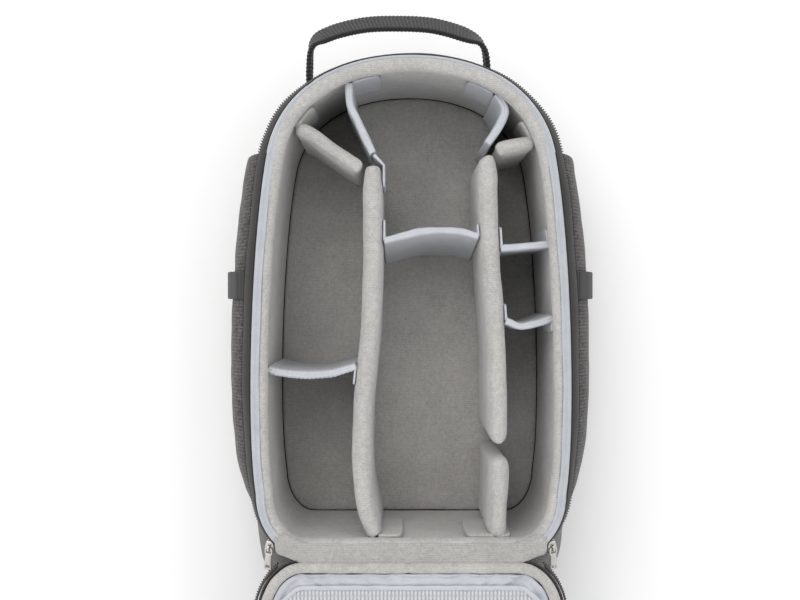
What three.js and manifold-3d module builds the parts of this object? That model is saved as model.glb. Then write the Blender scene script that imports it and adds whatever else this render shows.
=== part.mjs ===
// A camera backpack lying open on its harness side, with its lid folded down past its foot.
// Lengths are in millimetres. +X runs across the pack, +Y towards its top handle and +Z up,
// out of the open compartment. The origin is under the middle of the whole thing, on the floor.
import * as THREE from "three";
import { mergeVertices } from "three/addons/utils/BufferGeometryUtils.js";
import Module from "manifold-3d";

const wasm = await Module();
wasm.setup();

// Clearance between pieces that touch
const GAP = 0.3;

// Plan outline of the compartment's rim
const HALF_WIDTH = 146;
const TOP_REACH = 221;
const FOOT_REACH = 230;
const SHOULDER_HALF = 130;
const SHOULDER_RISE = 132;
const CORNER_ACROSS = 42;
const CORNER_RISE = 56;
const HIP_HALF = 140;

// Heights
const STRAP_THICK = 13;
const BACK_PAD_THICK = 13;
const COMPARTMENT_DEPTH = 142;
const RIM_BAND = 12;

// Shell
const SHELL_WALL = 2.5;
const SHELL_SWELL = 8;
const FOOT_SPREAD = 68;
const PIPING_RADIUS = 2.2;

// Lining
const LINER_THICK = 10.5;
const FLOOR_PAD_THICK = 8;
const BINDING_WIDTH = 5;
const BINDING_DROP = 10;

// Main zip
const TAPE_WIDTH = 15;
const TAPE_THICK = 1.2;
const TEETH_SIZE = 2.6;
const TAPE_FLARE = 9;
const TAPE_FLARE_AT_TOP = 5;
const ZIP_END_HALF = 0.8 * HALF_WIDTH;

// Lid
const LID_DEPTH = 28;
const LID_DEPTH_AT_HINGE = 10;
const LID_WALL = 2.5;
const LID_FOOT_ROUND = 5;
const LID_ROLL_WIDTH = 9;
const LID_ROLL_RISE = 3;
const LID_ROLL_DROP = 5;
const LINING_THICK = 2;
const MESH_THICK = 1.5;
const MESH_MARGIN = 7;
const HINGE_TAPE_HALF = 96;
const HINGE_TAPE_THICK = 2;
const HINGE_STEP = 3;

// Dividers
const FIRM_DIVIDER = 17;
const CORNER_DIVIDER = 13;
const SOFT_DIVIDER = 6.5;
const TAB_THICK = 2;
const FIRM_BELOW_RIM = 5;
const SOFT_BELOW_RIM = 8;
const SHELF_LEAN = 14;
const TAB_TALL = 62;
const TAB_BELOW_TOP = 18;

// Handle
const HANDLE_WIDTH = 30;
const HANDLE_THICK = 4.5;
const HANDLE_BELOW_RIM = 34;
const HANDLE_HALF = 82;
const HANDLE_SHIFT = -11;
const HANDLE_ROOT_Y = 186;
const HANDLE_REACH = 71;
const HANDLE_LEAN = 0.64;

// Side pockets and the webbing over them
const POCKET_TOP = 140;
const POCKET_FOOT = -196;
const POCKET_BULGE = 20;
const POCKET_WALL = 1.6;
const POCKET_FROM_RIM = 34;
const POCKET_FROM_BACK = 14;
const SIDE_WEB_Y = 14;
const SIDE_WEB_WIDTH = 26;
const SIDE_WEB_THICK = 2;
const SIDE_WEB_SLACK = 3;
const POCKET_OFF_SHELL = 1.1;

// Harness
const STRAP_WIDTH = 62;
const STRAP_SPREAD = 100;
const STRAP_FOOT = -120;
const PAD_EDGE = 3.5;
const BACK_PAD_ROUND = 30;
const BACK_PAD_WIDTH = 100;
const BACK_PAD_CHANNEL = 26;
const BACK_PAD_TOP = 128;
const BACK_PAD_FOOT = -190;
const YOKE_TOP = 178;
const YOKE_HALF = 86;
const WEB_WIDTH = 25;
const WEB_FOOT = -215;
const WEB_THICK = 2;
const BUCKLE_FROM_STRAP = 0.75;
const BUCKLE_LENGTH = 26;
const BUCKLE_WIDTH = 34;
const BUCKLE_THICK = 7;

// Zip slider and its pull
const SLIDER_LENGTH = 12;
const SLIDER_WIDTH = 9;
const SLIDER_THICK = 4.5;
const SLIDER_TILT = 0.5;
const SLIDER_TURN = 1;
const SLIDER_PAST_TEETH = 2;
const ARCH_SPAN = 7;
const ARCH_HEIGHT = 4;
const ARCH_BAR = 1.3;
const ARCH_WIDTH = 2.2;
const PULL_WIDTH = 8;
const PULL_LENGTH = 24;
const PULL_THICK = 1.3;
const PULL_EYE_LENGTH = 5.2;
const PULL_RAIL = 1.4;

// Heights worked out from the sizes above
const BACK_Z = STRAP_THICK + GAP + BACK_PAD_THICK + GAP;
const SHELL_TOP_Z = BACK_Z + COMPARTMENT_DEPTH;
const RIM_Z = SHELL_TOP_Z + RIM_BAND;
const FLOOR_Z = BACK_Z + SHELL_WALL + GAP;
const FLOOR_TOP_Z = FLOOR_Z + FLOOR_PAD_THICK;
const LINER_OUT = -(SHELL_WALL + GAP);
const LINER_IN = LINER_OUT - LINER_THICK;

const COLOURS = {
  shell: [0x2c2b2b, 0.85],
  pocket: [0x1e1d1c, 0.9],
  webbing: [0x262524, 0.8],
  zip_tape: [0x35322f, 0.8],
  zip_teeth: [0x201f1e, 0.5],
  tricot: [0xb4b1ab, 0.95],
  nylon: [0xaeb4c2, 0.6],
  mesh: [0xc6cad2, 0.8],
  pad: [0x232323, 0.95],
  plastic: [0x151515, 0.45],
  metal: [0xb9b2aa, 0.3],
};

const materials = Object.fromEntries(
  Object.entries(COLOURS).map(([name, [color, roughness]]) => [
    name,
    new THREE.MeshStandardMaterial({ name, color, roughness, metalness: name === "metal" ? 1 : 0 }),
  ]),
);

const pack = new THREE.Group();
const v2 = (x, y) => new THREE.Vector2(x, y);
const v3 = (x, y, z) => new THREE.Vector3(x, y, z);
const mix = THREE.MathUtils.lerp;
const smooth = (t) => THREE.MathUtils.smoothstep(t, 0, 1);
const UP = v3(0, 0, 1);

function addPiece(name, geometry, material) {
  const mesh = new THREE.Mesh(geometry, materials[material]);
  mesh.name = name;
  pack.add(mesh);
  return mesh;
}

// Closed bodies from rings of points

function signedVolume(positions, index) {
  const [a, b, c] = [v3(), v3(), v3()];
  let volume = 0;
  for (let i = 0; i < index.length; i += 3) {
    a.fromArray(positions, index[i] * 3);
    b.fromArray(positions, index[i + 1] * 3);
    c.fromArray(positions, index[i + 2] * 3);
    volume += a.dot(b.cross(c)) / 6;
  }
  return volume;
}

// Skins a row of rings that all have the same even number of points. A cap joins point i of a ring
// to point n - i, so on a bent panel its triangles follow the bend.
function loft(rings, { joined = false } = {}) {
  const n = rings[0].length;
  const positions = rings.flat().flatMap((p) => p.toArray());
  let index = [];
  const quad = (a, b, c, d) => index.push(a, b, c, a, c, d);
  const spans = joined ? rings.length : rings.length - 1;
  for (let r = 0; r < spans; r++) {
    const near = r * n;
    const far = ((r + 1) % rings.length) * n;
    for (let i = 0; i < n; i++) {
      const next = (i + 1) % n;
      quad(near + i, near + next, far + next, far + i);
    }
  }
  if (!joined) {
    const last = (rings.length - 1) * n;
    for (let i = 0; i < n / 2; i++) {
      const mirror = (n - i) % n;
      for (const [base, turned] of [[0, true], [last, false]]) {
        const corners = [i, i + 1, n - i - 1, mirror].map((k) => base + k);
        quad(...(turned ? corners.reverse() : corners));
      }
    }
    index = withoutFlatTriangles(index);
  }
  if (signedVolume(positions, index) < 0) index.reverse();
  return new THREE.BufferGeometry()
    .setAttribute("position", new THREE.Float32BufferAttribute(positions, 3))
    .setIndex(index);
}

function withoutFlatTriangles(index) {
  const kept = [];
  for (let i = 0; i < index.length; i += 3) {
    const [a, b, c] = index.slice(i, i + 3);
    if (a !== b && b !== c && c !== a) kept.push(a, b, c);
  }
  return kept;
}

function toSolid(geometry) {
  const bare = new THREE.BufferGeometry()
    .setAttribute("position", geometry.getAttribute("position").clone())
    .setIndex(geometry.index ? geometry.index.clone() : null);
  const merged = mergeVertices(bare, 1e-3);
  return new wasm.Manifold(
    new wasm.Mesh({
      numProp: 3,
      vertProperties: new Float32Array(merged.attributes.position.array),
      triVerts: new Uint32Array(merged.index.array),
    }),
  );
}

function toGeometry(solid) {
  const mesh = solid.getMesh();
  return new THREE.BufferGeometry()
    .setAttribute("position", new THREE.BufferAttribute(mesh.vertProperties, 3))
    .setIndex(new THREE.BufferAttribute(mesh.triVerts, 1));
}

// Cuts a piece to the room it stands in and to the neighbours it stops against. What is cut off past
// a neighbour is an offcut, so only the main body stays.
function trimmed(geometry, { room, clearOf = [] }) {
  let solid = toSolid(geometry);
  if (room) solid = solid.intersect(room);
  for (const neighbour of clearOf) solid = solid.subtract(neighbour);
  const bodies = solid.decompose().sort((a, b) => b.volume() - a.volume());
  return toGeometry(bodies[0]);
}

function joinedSolids(geometries) {
  return geometries.map(toSolid).reduce((whole, part) => whole.add(part));
}

// Plan outline of the pack. Each control point is a share of the span between two corners.

const SIDE_PULL = [
  { across: 1.02, along: 0.19 },
  { across: 0.99, along: 0.737 },
];
const ARCH_PULL = [
  { across: 0.93, along: 0.56 },
  { across: 0.6, along: 1 },
];
const STEPS = { flat: 2, corner: 4, side: 6, arch: 8 };

function halfOutline(spread) {
  const foot = -FOOT_REACH - spread;
  const hip = foot + CORNER_RISE;
  const flatHalf = HIP_HALF - CORNER_ACROSS;
  const highestPull = mix(CORNER_RISE - FOOT_REACH, SHOULDER_RISE, SIDE_PULL[1].along);
  const sidePull = [
    v2(SIDE_PULL[0].across * HALF_WIDTH, mix(hip, SHOULDER_RISE, SIDE_PULL[0].along)),
    v2(SIDE_PULL[1].across * HALF_WIDTH, highestPull),
  ];
  const archPull = ARCH_PULL.map((p) =>
    v2(p.across * SHOULDER_HALF, mix(SHOULDER_RISE, TOP_REACH, p.along)),
  );
  const shoulder = v2(SHOULDER_HALF, SHOULDER_RISE);
  const stretches = [
    [new THREE.LineCurve(v2(0, foot), v2(flatHalf, foot)), STEPS.flat],
    [new THREE.EllipseCurve(flatHalf, hip, CORNER_ACROSS, CORNER_RISE, -Math.PI / 2, 0), STEPS.corner],
    [new THREE.CubicBezierCurve(v2(HIP_HALF, hip), ...sidePull, shoulder), STEPS.side],
    [new THREE.CubicBezierCurve(shoulder, ...archPull, v2(0, TOP_REACH)), STEPS.arch],
  ];
  const points = [v2(0, foot)];
  for (const [curve, steps] of stretches) points.push(...curve.getPoints(steps).slice(1));
  return points;
}

// The outline moved out by offset, as [x, y] pairs: foot centre, up the right side, top centre, and
// down the left side.
function outline(offset = 0, spread = 0) {
  const half = halfOutline(spread);
  const last = half.length - 1;
  const moved = half.map((p, i) => {
    if (i === 0) return v2(0, p.y - offset);
    if (i === last) return v2(0, p.y + offset);
    const along = half[i + 1].clone().sub(half[i - 1]).normalize();
    return v2(p.x + along.y * offset, p.y - along.x * offset);
  });
  const left = moved.slice(1, last).reverse().map((p) => v2(-p.x, p.y));
  return [...moved, ...left];
}

const flatRing = (offset, z, spread = 0) => outline(offset, spread).map((p) => v3(p.x, p.y, z));

// Shell: how far its wall swells and its foot spreads, from the zip line down to the back
const SHELL_SECTIONS = [
  { depth: 0, swell: 0, foot: 0 },
  { depth: 0.13, swell: 0.12, foot: 0.1 },
  { depth: 0.32, swell: 0.68, foot: 0.4 },
  { depth: 0.6, swell: 1, foot: 0.84 },
  { depth: 0.9, swell: 0.75, foot: 1 },
  { depth: 1, swell: 0.35, foot: 0.94 },
];

function shellRing(section, inset, lift = 0) {
  const z = mix(SHELL_TOP_Z, BACK_Z, section.depth) + lift;
  return flatRing(section.swell * SHELL_SWELL - inset, z, section.foot * FOOT_SPREAD);
}

function shellSection(z) {
  const depth = THREE.MathUtils.clamp((SHELL_TOP_Z - z) / COMPARTMENT_DEPTH, 0, 1);
  const at = SHELL_SECTIONS.findIndex((s) => s.depth >= depth);
  if (at === 0) return SHELL_SECTIONS[0];
  const [above, below] = [SHELL_SECTIONS[at - 1], SHELL_SECTIONS[at]];
  const t = (depth - above.depth) / (below.depth - above.depth);
  return { depth, swell: mix(above.swell, below.swell, t), foot: mix(above.foot, below.foot, t) };
}

// Half width of the shell at a height and a place along it
function shellHalf(y, z) {
  const section = shellSection(z);
  const ring = outline(section.swell * SHELL_SWELL, section.foot * FOOT_SPREAD);
  const right = ring.slice(0, ring.length / 2 + 1);
  const at = right.findIndex((p, i) => i > 0 && p.y >= y);
  const [below, above] = [right[at - 1], right[at]];
  return mix(below.x, above.x, (y - below.y) / (above.y - below.y));
}

function makeShell() {
  const outer = SHELL_SECTIONS.map((s) => shellRing(s, 0));
  const inner = SHELL_SECTIONS.slice(0, -1).map((s) => shellRing(s, SHELL_WALL));
  const back = SHELL_SECTIONS[SHELL_SECTIONS.length - 1];
  const innerBack = shellRing(back, SHELL_WALL, SHELL_WALL);
  addPiece("shell", loft([innerBack, ...inner.reverse(), ...outer]), "shell");
}

const bodyKeepOut = toSolid(loft([
  flatRing(GAP, RIM_Z + GAP),
  ...SHELL_SECTIONS.map((s) => shellRing(s, -GAP)),
  shellRing(SHELL_SECTIONS[SHELL_SECTIONS.length - 1], -GAP, -GAP),
]));

// A ring that runs right round the outline, from a section of [offset, height] points
const roundOutline = (section) => loft(section.map(([offset, z]) => flatRing(offset, z)), { joined: true });

function makeLining() {
  const shoulderZ = RIM_Z - BINDING_DROP - GAP;
  const bindingIn = -BINDING_WIDTH - GAP;
  const crown = RIM_Z + HINGE_STEP - GAP;
  const roll = 3;
  addPiece("wall_padding", roundOutline([
    [LINER_OUT, FLOOR_Z],
    [LINER_OUT, shoulderZ],
    [bindingIn, shoulderZ],
    [bindingIn, crown - roll],
    [bindingIn - 1, crown],
    [LINER_IN + roll, crown],
    [LINER_IN, crown - roll],
    [LINER_IN, FLOOR_Z],
  ]), "tricot");
  const padEdge = LINER_IN - GAP;
  addPiece("floor_padding", loft([flatRing(padEdge, FLOOR_Z), flatRing(padEdge, FLOOR_TOP_Z)]), "tricot");
}

// The room between the padded walls, with its clearance
const room = toSolid(loft([
  flatRing(LINER_IN - GAP, FLOOR_TOP_Z + GAP),
  flatRing(LINER_IN - GAP, RIM_Z + HINGE_STEP),
]));

// Open runs along the rim, from one zip end round the top to the other

// Indices of the outline from the right zip end round the top to the left one
function zipRun() {
  const ring = outline();
  const top = ring.length / 2;
  const start = ring.findIndex((p) => p.x >= ZIP_END_HALF);
  return { start, end: ring.length - start, top };
}

// Sweeps a section, given per stop as [offset, height] points, along the zip's run
function alongZip(sectionAt, place = (x, y, z) => v3(x, y, z)) {
  const { start, end, top } = zipRun();
  const rings = [];
  for (let i = start; i <= end; i++) {
    const fromTop = Math.abs(i - top) / (end - top);
    rings.push(sectionAt(fromTop).map(([offset, z]) => {
      const p = outline(offset)[i];
      return place(p.x, p.y, z);
    }));
  }
  return loft(rings);
}

// The tape stands out most half way down each side and least at the top and near its ends
const tapeFlare = (fromTop) =>
  mix(TAPE_FLARE_AT_TOP, TAPE_FLARE, Math.sin(Math.PI * THREE.MathUtils.clamp(fromTop * 1.15 - 0.15, 0, 1)));

function tapeLine(fromTop, startZ) {
  const flare = tapeFlare(fromTop);
  const fall = Math.sqrt(TAPE_WIDTH ** 2 - flare ** 2);
  return { root: [GAP, startZ], tip: [GAP + flare, startZ - fall] };
}

function makeRim() {
  const edge = 1.5;
  addPiece("rim_binding", alongZip(() => [
    [0, RIM_Z - edge],
    [-edge, RIM_Z],
    [-BINDING_WIDTH + edge, RIM_Z + edge],
    [-BINDING_WIDTH, RIM_Z],
    [-BINDING_WIDTH, RIM_Z - BINDING_DROP],
    [0, RIM_Z - BINDING_DROP],
  ]), "nylon");

  const rootZ = RIM_Z - edge;
  addPiece("body_zip_tape", alongZip((fromTop) => {
    const { root, tip } = tapeLine(fromTop, rootZ);
    return [root, tip, [tip[0], tip[1] - TAPE_THICK], [root[0], root[1] - TAPE_THICK * 2]];
  }), "zip_tape");
  addPiece("body_zip_teeth", alongZip((fromTop) => {
    const { tip } = tapeLine(fromTop, rootZ);
    const near = tip[0] + GAP;
    const low = tip[1] - TEETH_SIZE / 2;
    return [
      [near, low],
      [near + TEETH_SIZE, low],
      [near + TEETH_SIZE, low + TEETH_SIZE],
      [near, low + TEETH_SIZE],
    ];
  }), "zip_teeth");
}

// Piping round the seam between the shell's wall and its back
function makePiping() {
  const back = SHELL_SECTIONS[SHELL_SECTIONS.length - 1];
  const sides = 5;
  const rings = Array.from({ length: sides }, (_, k) => {
    const angle = (k / sides) * 2 * Math.PI;
    const offset = back.swell * SHELL_SWELL + PIPING_RADIUS * Math.cos(angle);
    const z = BACK_Z - GAP - PIPING_RADIUS + PIPING_RADIUS * Math.sin(angle);
    return flatRing(offset, z, back.foot * FOOT_SPREAD);
  });
  addPiece("back_piping", loft(rings, { joined: true }), "webbing");
}

// Lid. Its plan is the rim's outline, measured from the hinge along a spine that leaves the rim level,
// falls in an S and comes to rest on the floor.

const LID_LENGTH = TOP_REACH + FOOT_REACH;
const LID_SPAN_STEPS = 200;
const HINGE_Y = -FOOT_REACH - HINGE_STEP;
const HINGE_Z = RIM_Z + HINGE_STEP - GAP;

function lidSpine(steepest) {
  const stops = [{ y: HINGE_Y, z: HINGE_Z, slope: 0 }];
  const step = LID_LENGTH / LID_SPAN_STEPS;
  for (let i = 1; i <= LID_SPAN_STEPS; i++) {
    const before = stops[i - 1];
    const slope = steepest * Math.sin((Math.PI * i) / LID_SPAN_STEPS);
    const middle = (before.slope + slope) / 2;
    stops.push({ y: before.y - Math.cos(middle) * step, z: before.z - Math.sin(middle) * step, slope });
  }
  return stops;
}

// The steepest slope that brings the far end of the lid down onto the floor
function restingSpine() {
  let [low, high] = [0, Math.PI / 3];
  for (let i = 0; i < 40; i++) {
    const middle = (low + high) / 2;
    const end = lidSpine(middle)[LID_SPAN_STEPS];
    if (end.z > LID_DEPTH) low = middle;
    else high = middle;
  }
  return lidSpine(low);
}
const spine = restingSpine();

// A point of the lid: across, along from the hinge, and above the lid's rim plane
function lidPoint(x, along, rise) {
  const at = THREE.MathUtils.clamp(along / LID_LENGTH, 0, 1) * LID_SPAN_STEPS;
  const i = Math.min(Math.floor(at), LID_SPAN_STEPS - 1);
  const [a, b] = [spine[i], spine[i + 1]];
  const t = at - i;
  const slope = mix(a.slope, b.slope, t);
  const beyond = along - THREE.MathUtils.clamp(along, 0, LID_LENGTH);
  const y = mix(a.y, b.y, t) - Math.sin(slope) * rise - Math.cos(slope) * beyond;
  return v3(x, y, mix(a.z, b.z, t) + Math.cos(slope) * rise - Math.sin(slope) * beyond);
}

const LID_DEEPENS_OVER = 70;
const lidDepth = (along) => mix(LID_DEPTH_AT_HINGE, LID_DEPTH, smooth(along / LID_DEEPENS_OVER));

// A ring of the lid at a depth that is a share of the lid's own, less a fixed rise
function lidRing(offset, depthShare, rise = 0) {
  return outline(offset).map((p) => {
    const along = p.y + FOOT_REACH;
    return lidPoint(p.x, along, rise - depthShare * lidDepth(along));
  });
}

function makeLid() {
  addPiece("lid_shell", loft([
    lidRing(-LID_WALL - LID_FOOT_ROUND, 1, LID_WALL),
    lidRing(-LID_WALL, 0.7, LID_WALL),
    lidRing(-LID_WALL, 0),
    lidRing(0, 0),
    lidRing(0, 0.7),
    lidRing(-LID_FOOT_ROUND, 1),
  ]), "shell");

  const rollOut = -LID_WALL - GAP;
  const rollIn = rollOut - LID_ROLL_WIDTH;
  const soft = 2.2;
  const rollSection = [
    [rollOut, -LID_ROLL_DROP * 0.6],
    [rollOut, LID_ROLL_RISE - soft],
    [rollOut - soft, LID_ROLL_RISE],
    [rollIn + soft, LID_ROLL_RISE],
    [rollIn, LID_ROLL_RISE - soft],
    [rollIn, -LID_ROLL_DROP * 0.6],
  ];
  addPiece("lid_roll", loft(rollSection.map(([offset, rise]) => lidRing(offset, 0, rise)),
    { joined: true }), "tricot");

  const liningEdge = rollIn - GAP;
  const liningTop = 0;
  addPiece("lid_lining", loft([
    lidRing(liningEdge, 0, liningTop - LINING_THICK),
    lidRing(liningEdge, 0, liningTop),
  ]), "nylon");
  const meshEdge = liningEdge - MESH_MARGIN;
  addPiece("lid_mesh_pocket", loft([
    lidRing(meshEdge, 0, liningTop + GAP),
    lidRing(meshEdge, 0, liningTop + GAP + MESH_THICK),
  ]), "mesh");

  const place = (x, y, z) => lidPoint(x, y + FOOT_REACH, z);
  const rootRise = -GAP - 1;
  addPiece("lid_zip_tape", alongZip(() => [
    [GAP + 0.2, rootRise],
    [TAPE_FLARE + GAP, rootRise + 2],
    [TAPE_FLARE + GAP, rootRise + 2 - TAPE_THICK],
    [GAP + 1, rootRise - TAPE_THICK * 2],
  ], place), "zip_tape");
  const teethNear = TAPE_FLARE + 2 * GAP;
  const teethRise = rootRise + 2 - TAPE_THICK / 2 - TEETH_SIZE / 2;
  addPiece("lid_zip_teeth", alongZip(() => [
    [teethNear, teethRise],
    [teethNear + TEETH_SIZE, teethRise],
    [teethNear + TEETH_SIZE, teethRise + TEETH_SIZE],
    [teethNear, teethRise + TEETH_SIZE],
  ], place), "zip_teeth");

  const tapeFrom = HINGE_Y - LID_WALL;
  const tapeTo = -FOOT_REACH - LINER_IN;
  const tape = new THREE.BoxGeometry(2 * HINGE_TAPE_HALF, tapeTo - tapeFrom, HINGE_TAPE_THICK);
  tape.translate(0, (tapeFrom + tapeTo) / 2, HINGE_Z + GAP + HINGE_TAPE_THICK / 2);
  addPiece("hinge_tape", tape, "tricot");
}

// Ribbons: a rounded section swept along a path, with its width in a fixed direction

function roundedSection(halfWidth, halfThick, radius) {
  const r = Math.min(radius, halfThick * 0.98, halfWidth * 0.98);
  const cut = r * (1 - Math.SQRT1_2);
  const quarter = [
    [halfWidth - r, halfThick],
    [halfWidth - cut, halfThick - cut],
    [halfWidth, halfThick - r],
  ];
  const back = quarter.map(([w, t]) => [w, -t]).reverse();
  const right = [...quarter, ...back];
  return [...right, ...right.map(([w, t]) => [-w, -t])];
}

// path: points; width(t): the direction of the section's width; size(t): half width, half thickness
function ribbon(path, width, size, radius) {
  const rings = path.map((p, i) => {
    const before = path[Math.max(i - 1, 0)];
    const after = path[Math.min(i + 1, path.length - 1)];
    const along = after.clone().sub(before).normalize();
    const wide = width(i / (path.length - 1));
    const across = wide.clone().addScaledVector(along, -wide.dot(along)).normalize();
    const normal = along.clone().cross(across);
    const { halfWidth, halfThick } = size(i / (path.length - 1));
    return roundedSection(halfWidth, halfThick, radius).map(([w, t]) =>
      p.clone().addScaledVector(across, w).addScaledVector(normal, t),
    );
  });
  return loft(rings);
}

// Dividers. A route's points are shares of the pack's half width and of its reach up or down.

const place = ([across, along]) =>
  v2(across * HALF_WIDTH, along * (along > 0 ? TOP_REACH : FOOT_REACH));

const ROUTES = {
  main_divider_left: [
    [-0.24, 0.56],
    [-0.237, 0.18],
    [-0.255, -0.13],
    [-0.3, -0.45],
    [-0.3, -0.72],
    [-0.25, -0.88],
    [-0.165, -1],
  ],
  main_divider_right: [
    [0.475, 0.6],
    [0.482, 0.4],
    [0.497, 0.2],
    [0.515, 0],
    [0.535, -0.19],
    [0.54, -0.385],
    [0.546, -0.575],
  ],
  main_divider_right_foot: [
    [0.547, -0.592],
    [0.55, -0.7],
    [0.54, -0.85],
    [0.528, -1],
  ],
  corner_divider_left: [
    [-0.9, 0.74],
    [-0.74, 0.712],
    [-0.64, 0.688],
    [-0.52, 0.632],
    [-0.37, 0.565],
    [-0.24, 0.515],
  ],
  corner_divider_right: [
    [0.45, 0.6],
    [0.573, 0.625],
    [0.664, 0.637],
    [0.756, 0.645],
    [0.92, 0.63],
  ],
  camera_flap_left: [
    [-0.385, 1],
    [-0.382, 0.82],
    [-0.334, 0.741],
    [-0.27, 0.65],
    [-0.21, 0.568],
  ],
  camera_flap_right: [
    [0.33, 0.95],
    [0.45, 0.895],
    [0.54, 0.842],
    [0.585, 0.79],
    [0.572, 0.745],
    [0.52, 0.685],
    [0.455, 0.625],
  ],
  shelf_divider: [
    [-0.24, 0.235],
    [-0.1, 0.256],
    [0.02, 0.276],
    [0.14, 0.286],
    [0.29, 0.284],
    [0.38, 0.27],
    [0.5, 0.25],
  ],
  cradle_divider: [
    [-0.95, -0.245],
    [-0.89, -0.272],
    [-0.81, -0.287],
    [-0.66, -0.296],
    [-0.51, -0.291],
    [-0.42, -0.278],
    [-0.28, -0.25],
  ],
  small_divider_upper: [
    [0.5, 0.209],
    [0.65, 0.216],
    [0.77, 0.224],
    [0.97, 0.234],
  ],
  small_divider_lower: [
    [0.5, -0.07],
    [0.6, -0.085],
    [0.676, -0.104],
    [0.767, -0.096],
    [0.859, -0.078],
    [1, -0.045],
  ],
};

// A padded panel that stands on the floor and follows a route
function standingPanel(route, { thick, top, bottom = FLOOR_TOP_Z, lean = 0, ends = 1, stops = 12 }) {
  const curve = new THREE.SplineCurve(route.map(place));
  const middle = (top + bottom) / 2;
  const path = curve.getSpacedPoints(stops).map((p) => v3(p.x, p.y, middle));
  const size = (t) => {
    const near = smooth(Math.min(1, Math.min(t, 1 - t) * 7));
    return { halfWidth: (top - bottom) / 2, halfThick: (thick / 2) * mix(ends, 1, near) };
  };
  const panel = ribbon(path, () => UP, size, thick / 2);
  if (lean) leanBy(panel, lean, top, bottom);
  return panel;
}

function leanBy(geometry, lean, top, bottom) {
  const at = geometry.getAttribute("position");
  for (let i = 0; i < at.count; i++) {
    const share = (top - at.getZ(i)) / (top - bottom);
    at.setY(i, at.getY(i) - lean * share);
  }
}

const firmTop = RIM_Z - FIRM_BELOW_RIM;
const softTop = RIM_Z - SOFT_BELOW_RIM;
const DIVIDERS = {
  main_divider_left: { thick: FIRM_DIVIDER, top: firmTop, material: "tricot", stops: 14 },
  main_divider_right: { thick: FIRM_DIVIDER, top: firmTop, material: "tricot", ends: 0.5, stops: 10 },
  main_divider_right_foot: { thick: FIRM_DIVIDER, top: firmTop, material: "tricot", ends: 0.45, stops: 10 },
  corner_divider_left: { thick: CORNER_DIVIDER, top: firmTop - 1, material: "tricot", stops: 8 },
  corner_divider_right: { thick: CORNER_DIVIDER, top: firmTop - 1, material: "tricot", stops: 8 },
  camera_flap_left: { thick: SOFT_DIVIDER, top: softTop, material: "nylon", stops: 9 },
  camera_flap_right: { thick: SOFT_DIVIDER, top: softTop, material: "nylon", stops: 14 },
  shelf_divider: { thick: SOFT_DIVIDER, top: softTop, material: "nylon", lean: SHELF_LEAN, stops: 9 },
  cradle_divider: { thick: SOFT_DIVIDER, top: softTop, material: "nylon", stops: 12 },
  small_divider_upper: { thick: SOFT_DIVIDER, top: softTop, material: "nylon", stops: 6 },
  small_divider_lower: { thick: SOFT_DIVIDER, top: softTop, material: "nylon", stops: 8 },
};

// What each divider's ends stop against, apart from the padded wall
const STOPS_AGAINST = {
  main_divider_right_foot: ["main_divider_right"],
  corner_divider_left: ["main_divider_left"],
  corner_divider_right: ["main_divider_right"],
  camera_flap_left: ["main_divider_left", "corner_divider_left"],
  camera_flap_right: ["main_divider_right", "corner_divider_right"],
  shelf_divider: ["main_divider_left", "main_divider_right"],
  cradle_divider: ["main_divider_left"],
  small_divider_upper: ["main_divider_right"],
  small_divider_lower: ["main_divider_right"],
};

// The room that a divider takes up, with its clearance
function dividerKeepOut(name) {
  const { thick, top, ...rest } = DIVIDERS[name];
  return toSolid(standingPanel(ROUTES[name], {
    ...rest,
    thick: thick + 2 * GAP,
    top: top + GAP,
    bottom: FLOOR_TOP_Z - GAP,
  }));
}
const keepOuts = Object.fromEntries(Object.keys(DIVIDERS).map((name) => [name, dividerKeepOut(name)]));

function makeDividers() {
  for (const [name, { material, ...form }] of Object.entries(DIVIDERS)) {
    const clearOf = (STOPS_AGAINST[name] ?? []).map((other) => keepOuts[other]);
    addPiece(name, trimmed(standingPanel(ROUTES[name], form), { room, clearOf }), material);
  }
}

// Hook-and-loop tabs: thin flaps at the ends of the dividers, pressed onto a wall or another divider
const TABS = {
  tab_main_left: { route: [[-0.165, -0.925], [-0.06, -0.925]], top: firmTop - TAB_BELOW_TOP, material: "tricot", wall: true },
  tab_main_right: { route: [[0.5, -0.925], [0.39, -0.925]], top: firmTop - TAB_BELOW_TOP, material: "tricot", wall: true },
};

function makeTabs() {
  const wallY = -FOOT_REACH - LINER_IN + GAP + TAB_THICK / 2;
  for (const [name, { route, top, material }] of Object.entries(TABS)) {
    const path = [0, 0.5, 1].map((t) =>
      v3(mix(route[0][0], route[1][0], t) * HALF_WIDTH, wallY, top - TAB_TALL / 2),
    );
    const size = () => ({ halfWidth: TAB_TALL / 2, halfThick: TAB_THICK / 2 });
    const clearOf = [keepOuts.main_divider_left, keepOuts.main_divider_right_foot];
    addPiece(name, trimmed(ribbon(path, () => UP, size, TAB_THICK / 4), { room, clearOf }), material);
  }
}

// Haul handle: a loop of webbing whose ends stand on edge and whose middle leans back, face up

const HANDLE_ROUTE = [
  { across: -1, out: 0 },
  { across: -1.01, out: 0.4 },
  { across: -0.97, out: 0.72 },
  { across: -0.78, out: 0.87 },
  { across: -0.4, out: 0.98 },
  { across: 0, out: 1 },
  { across: 0.4, out: 0.97 },
  { across: 0.78, out: 0.84 },
  { across: 0.95, out: 0.7 },
  { across: 1, out: 0.4 },
  { across: 0.99, out: 0 },
];

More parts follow.
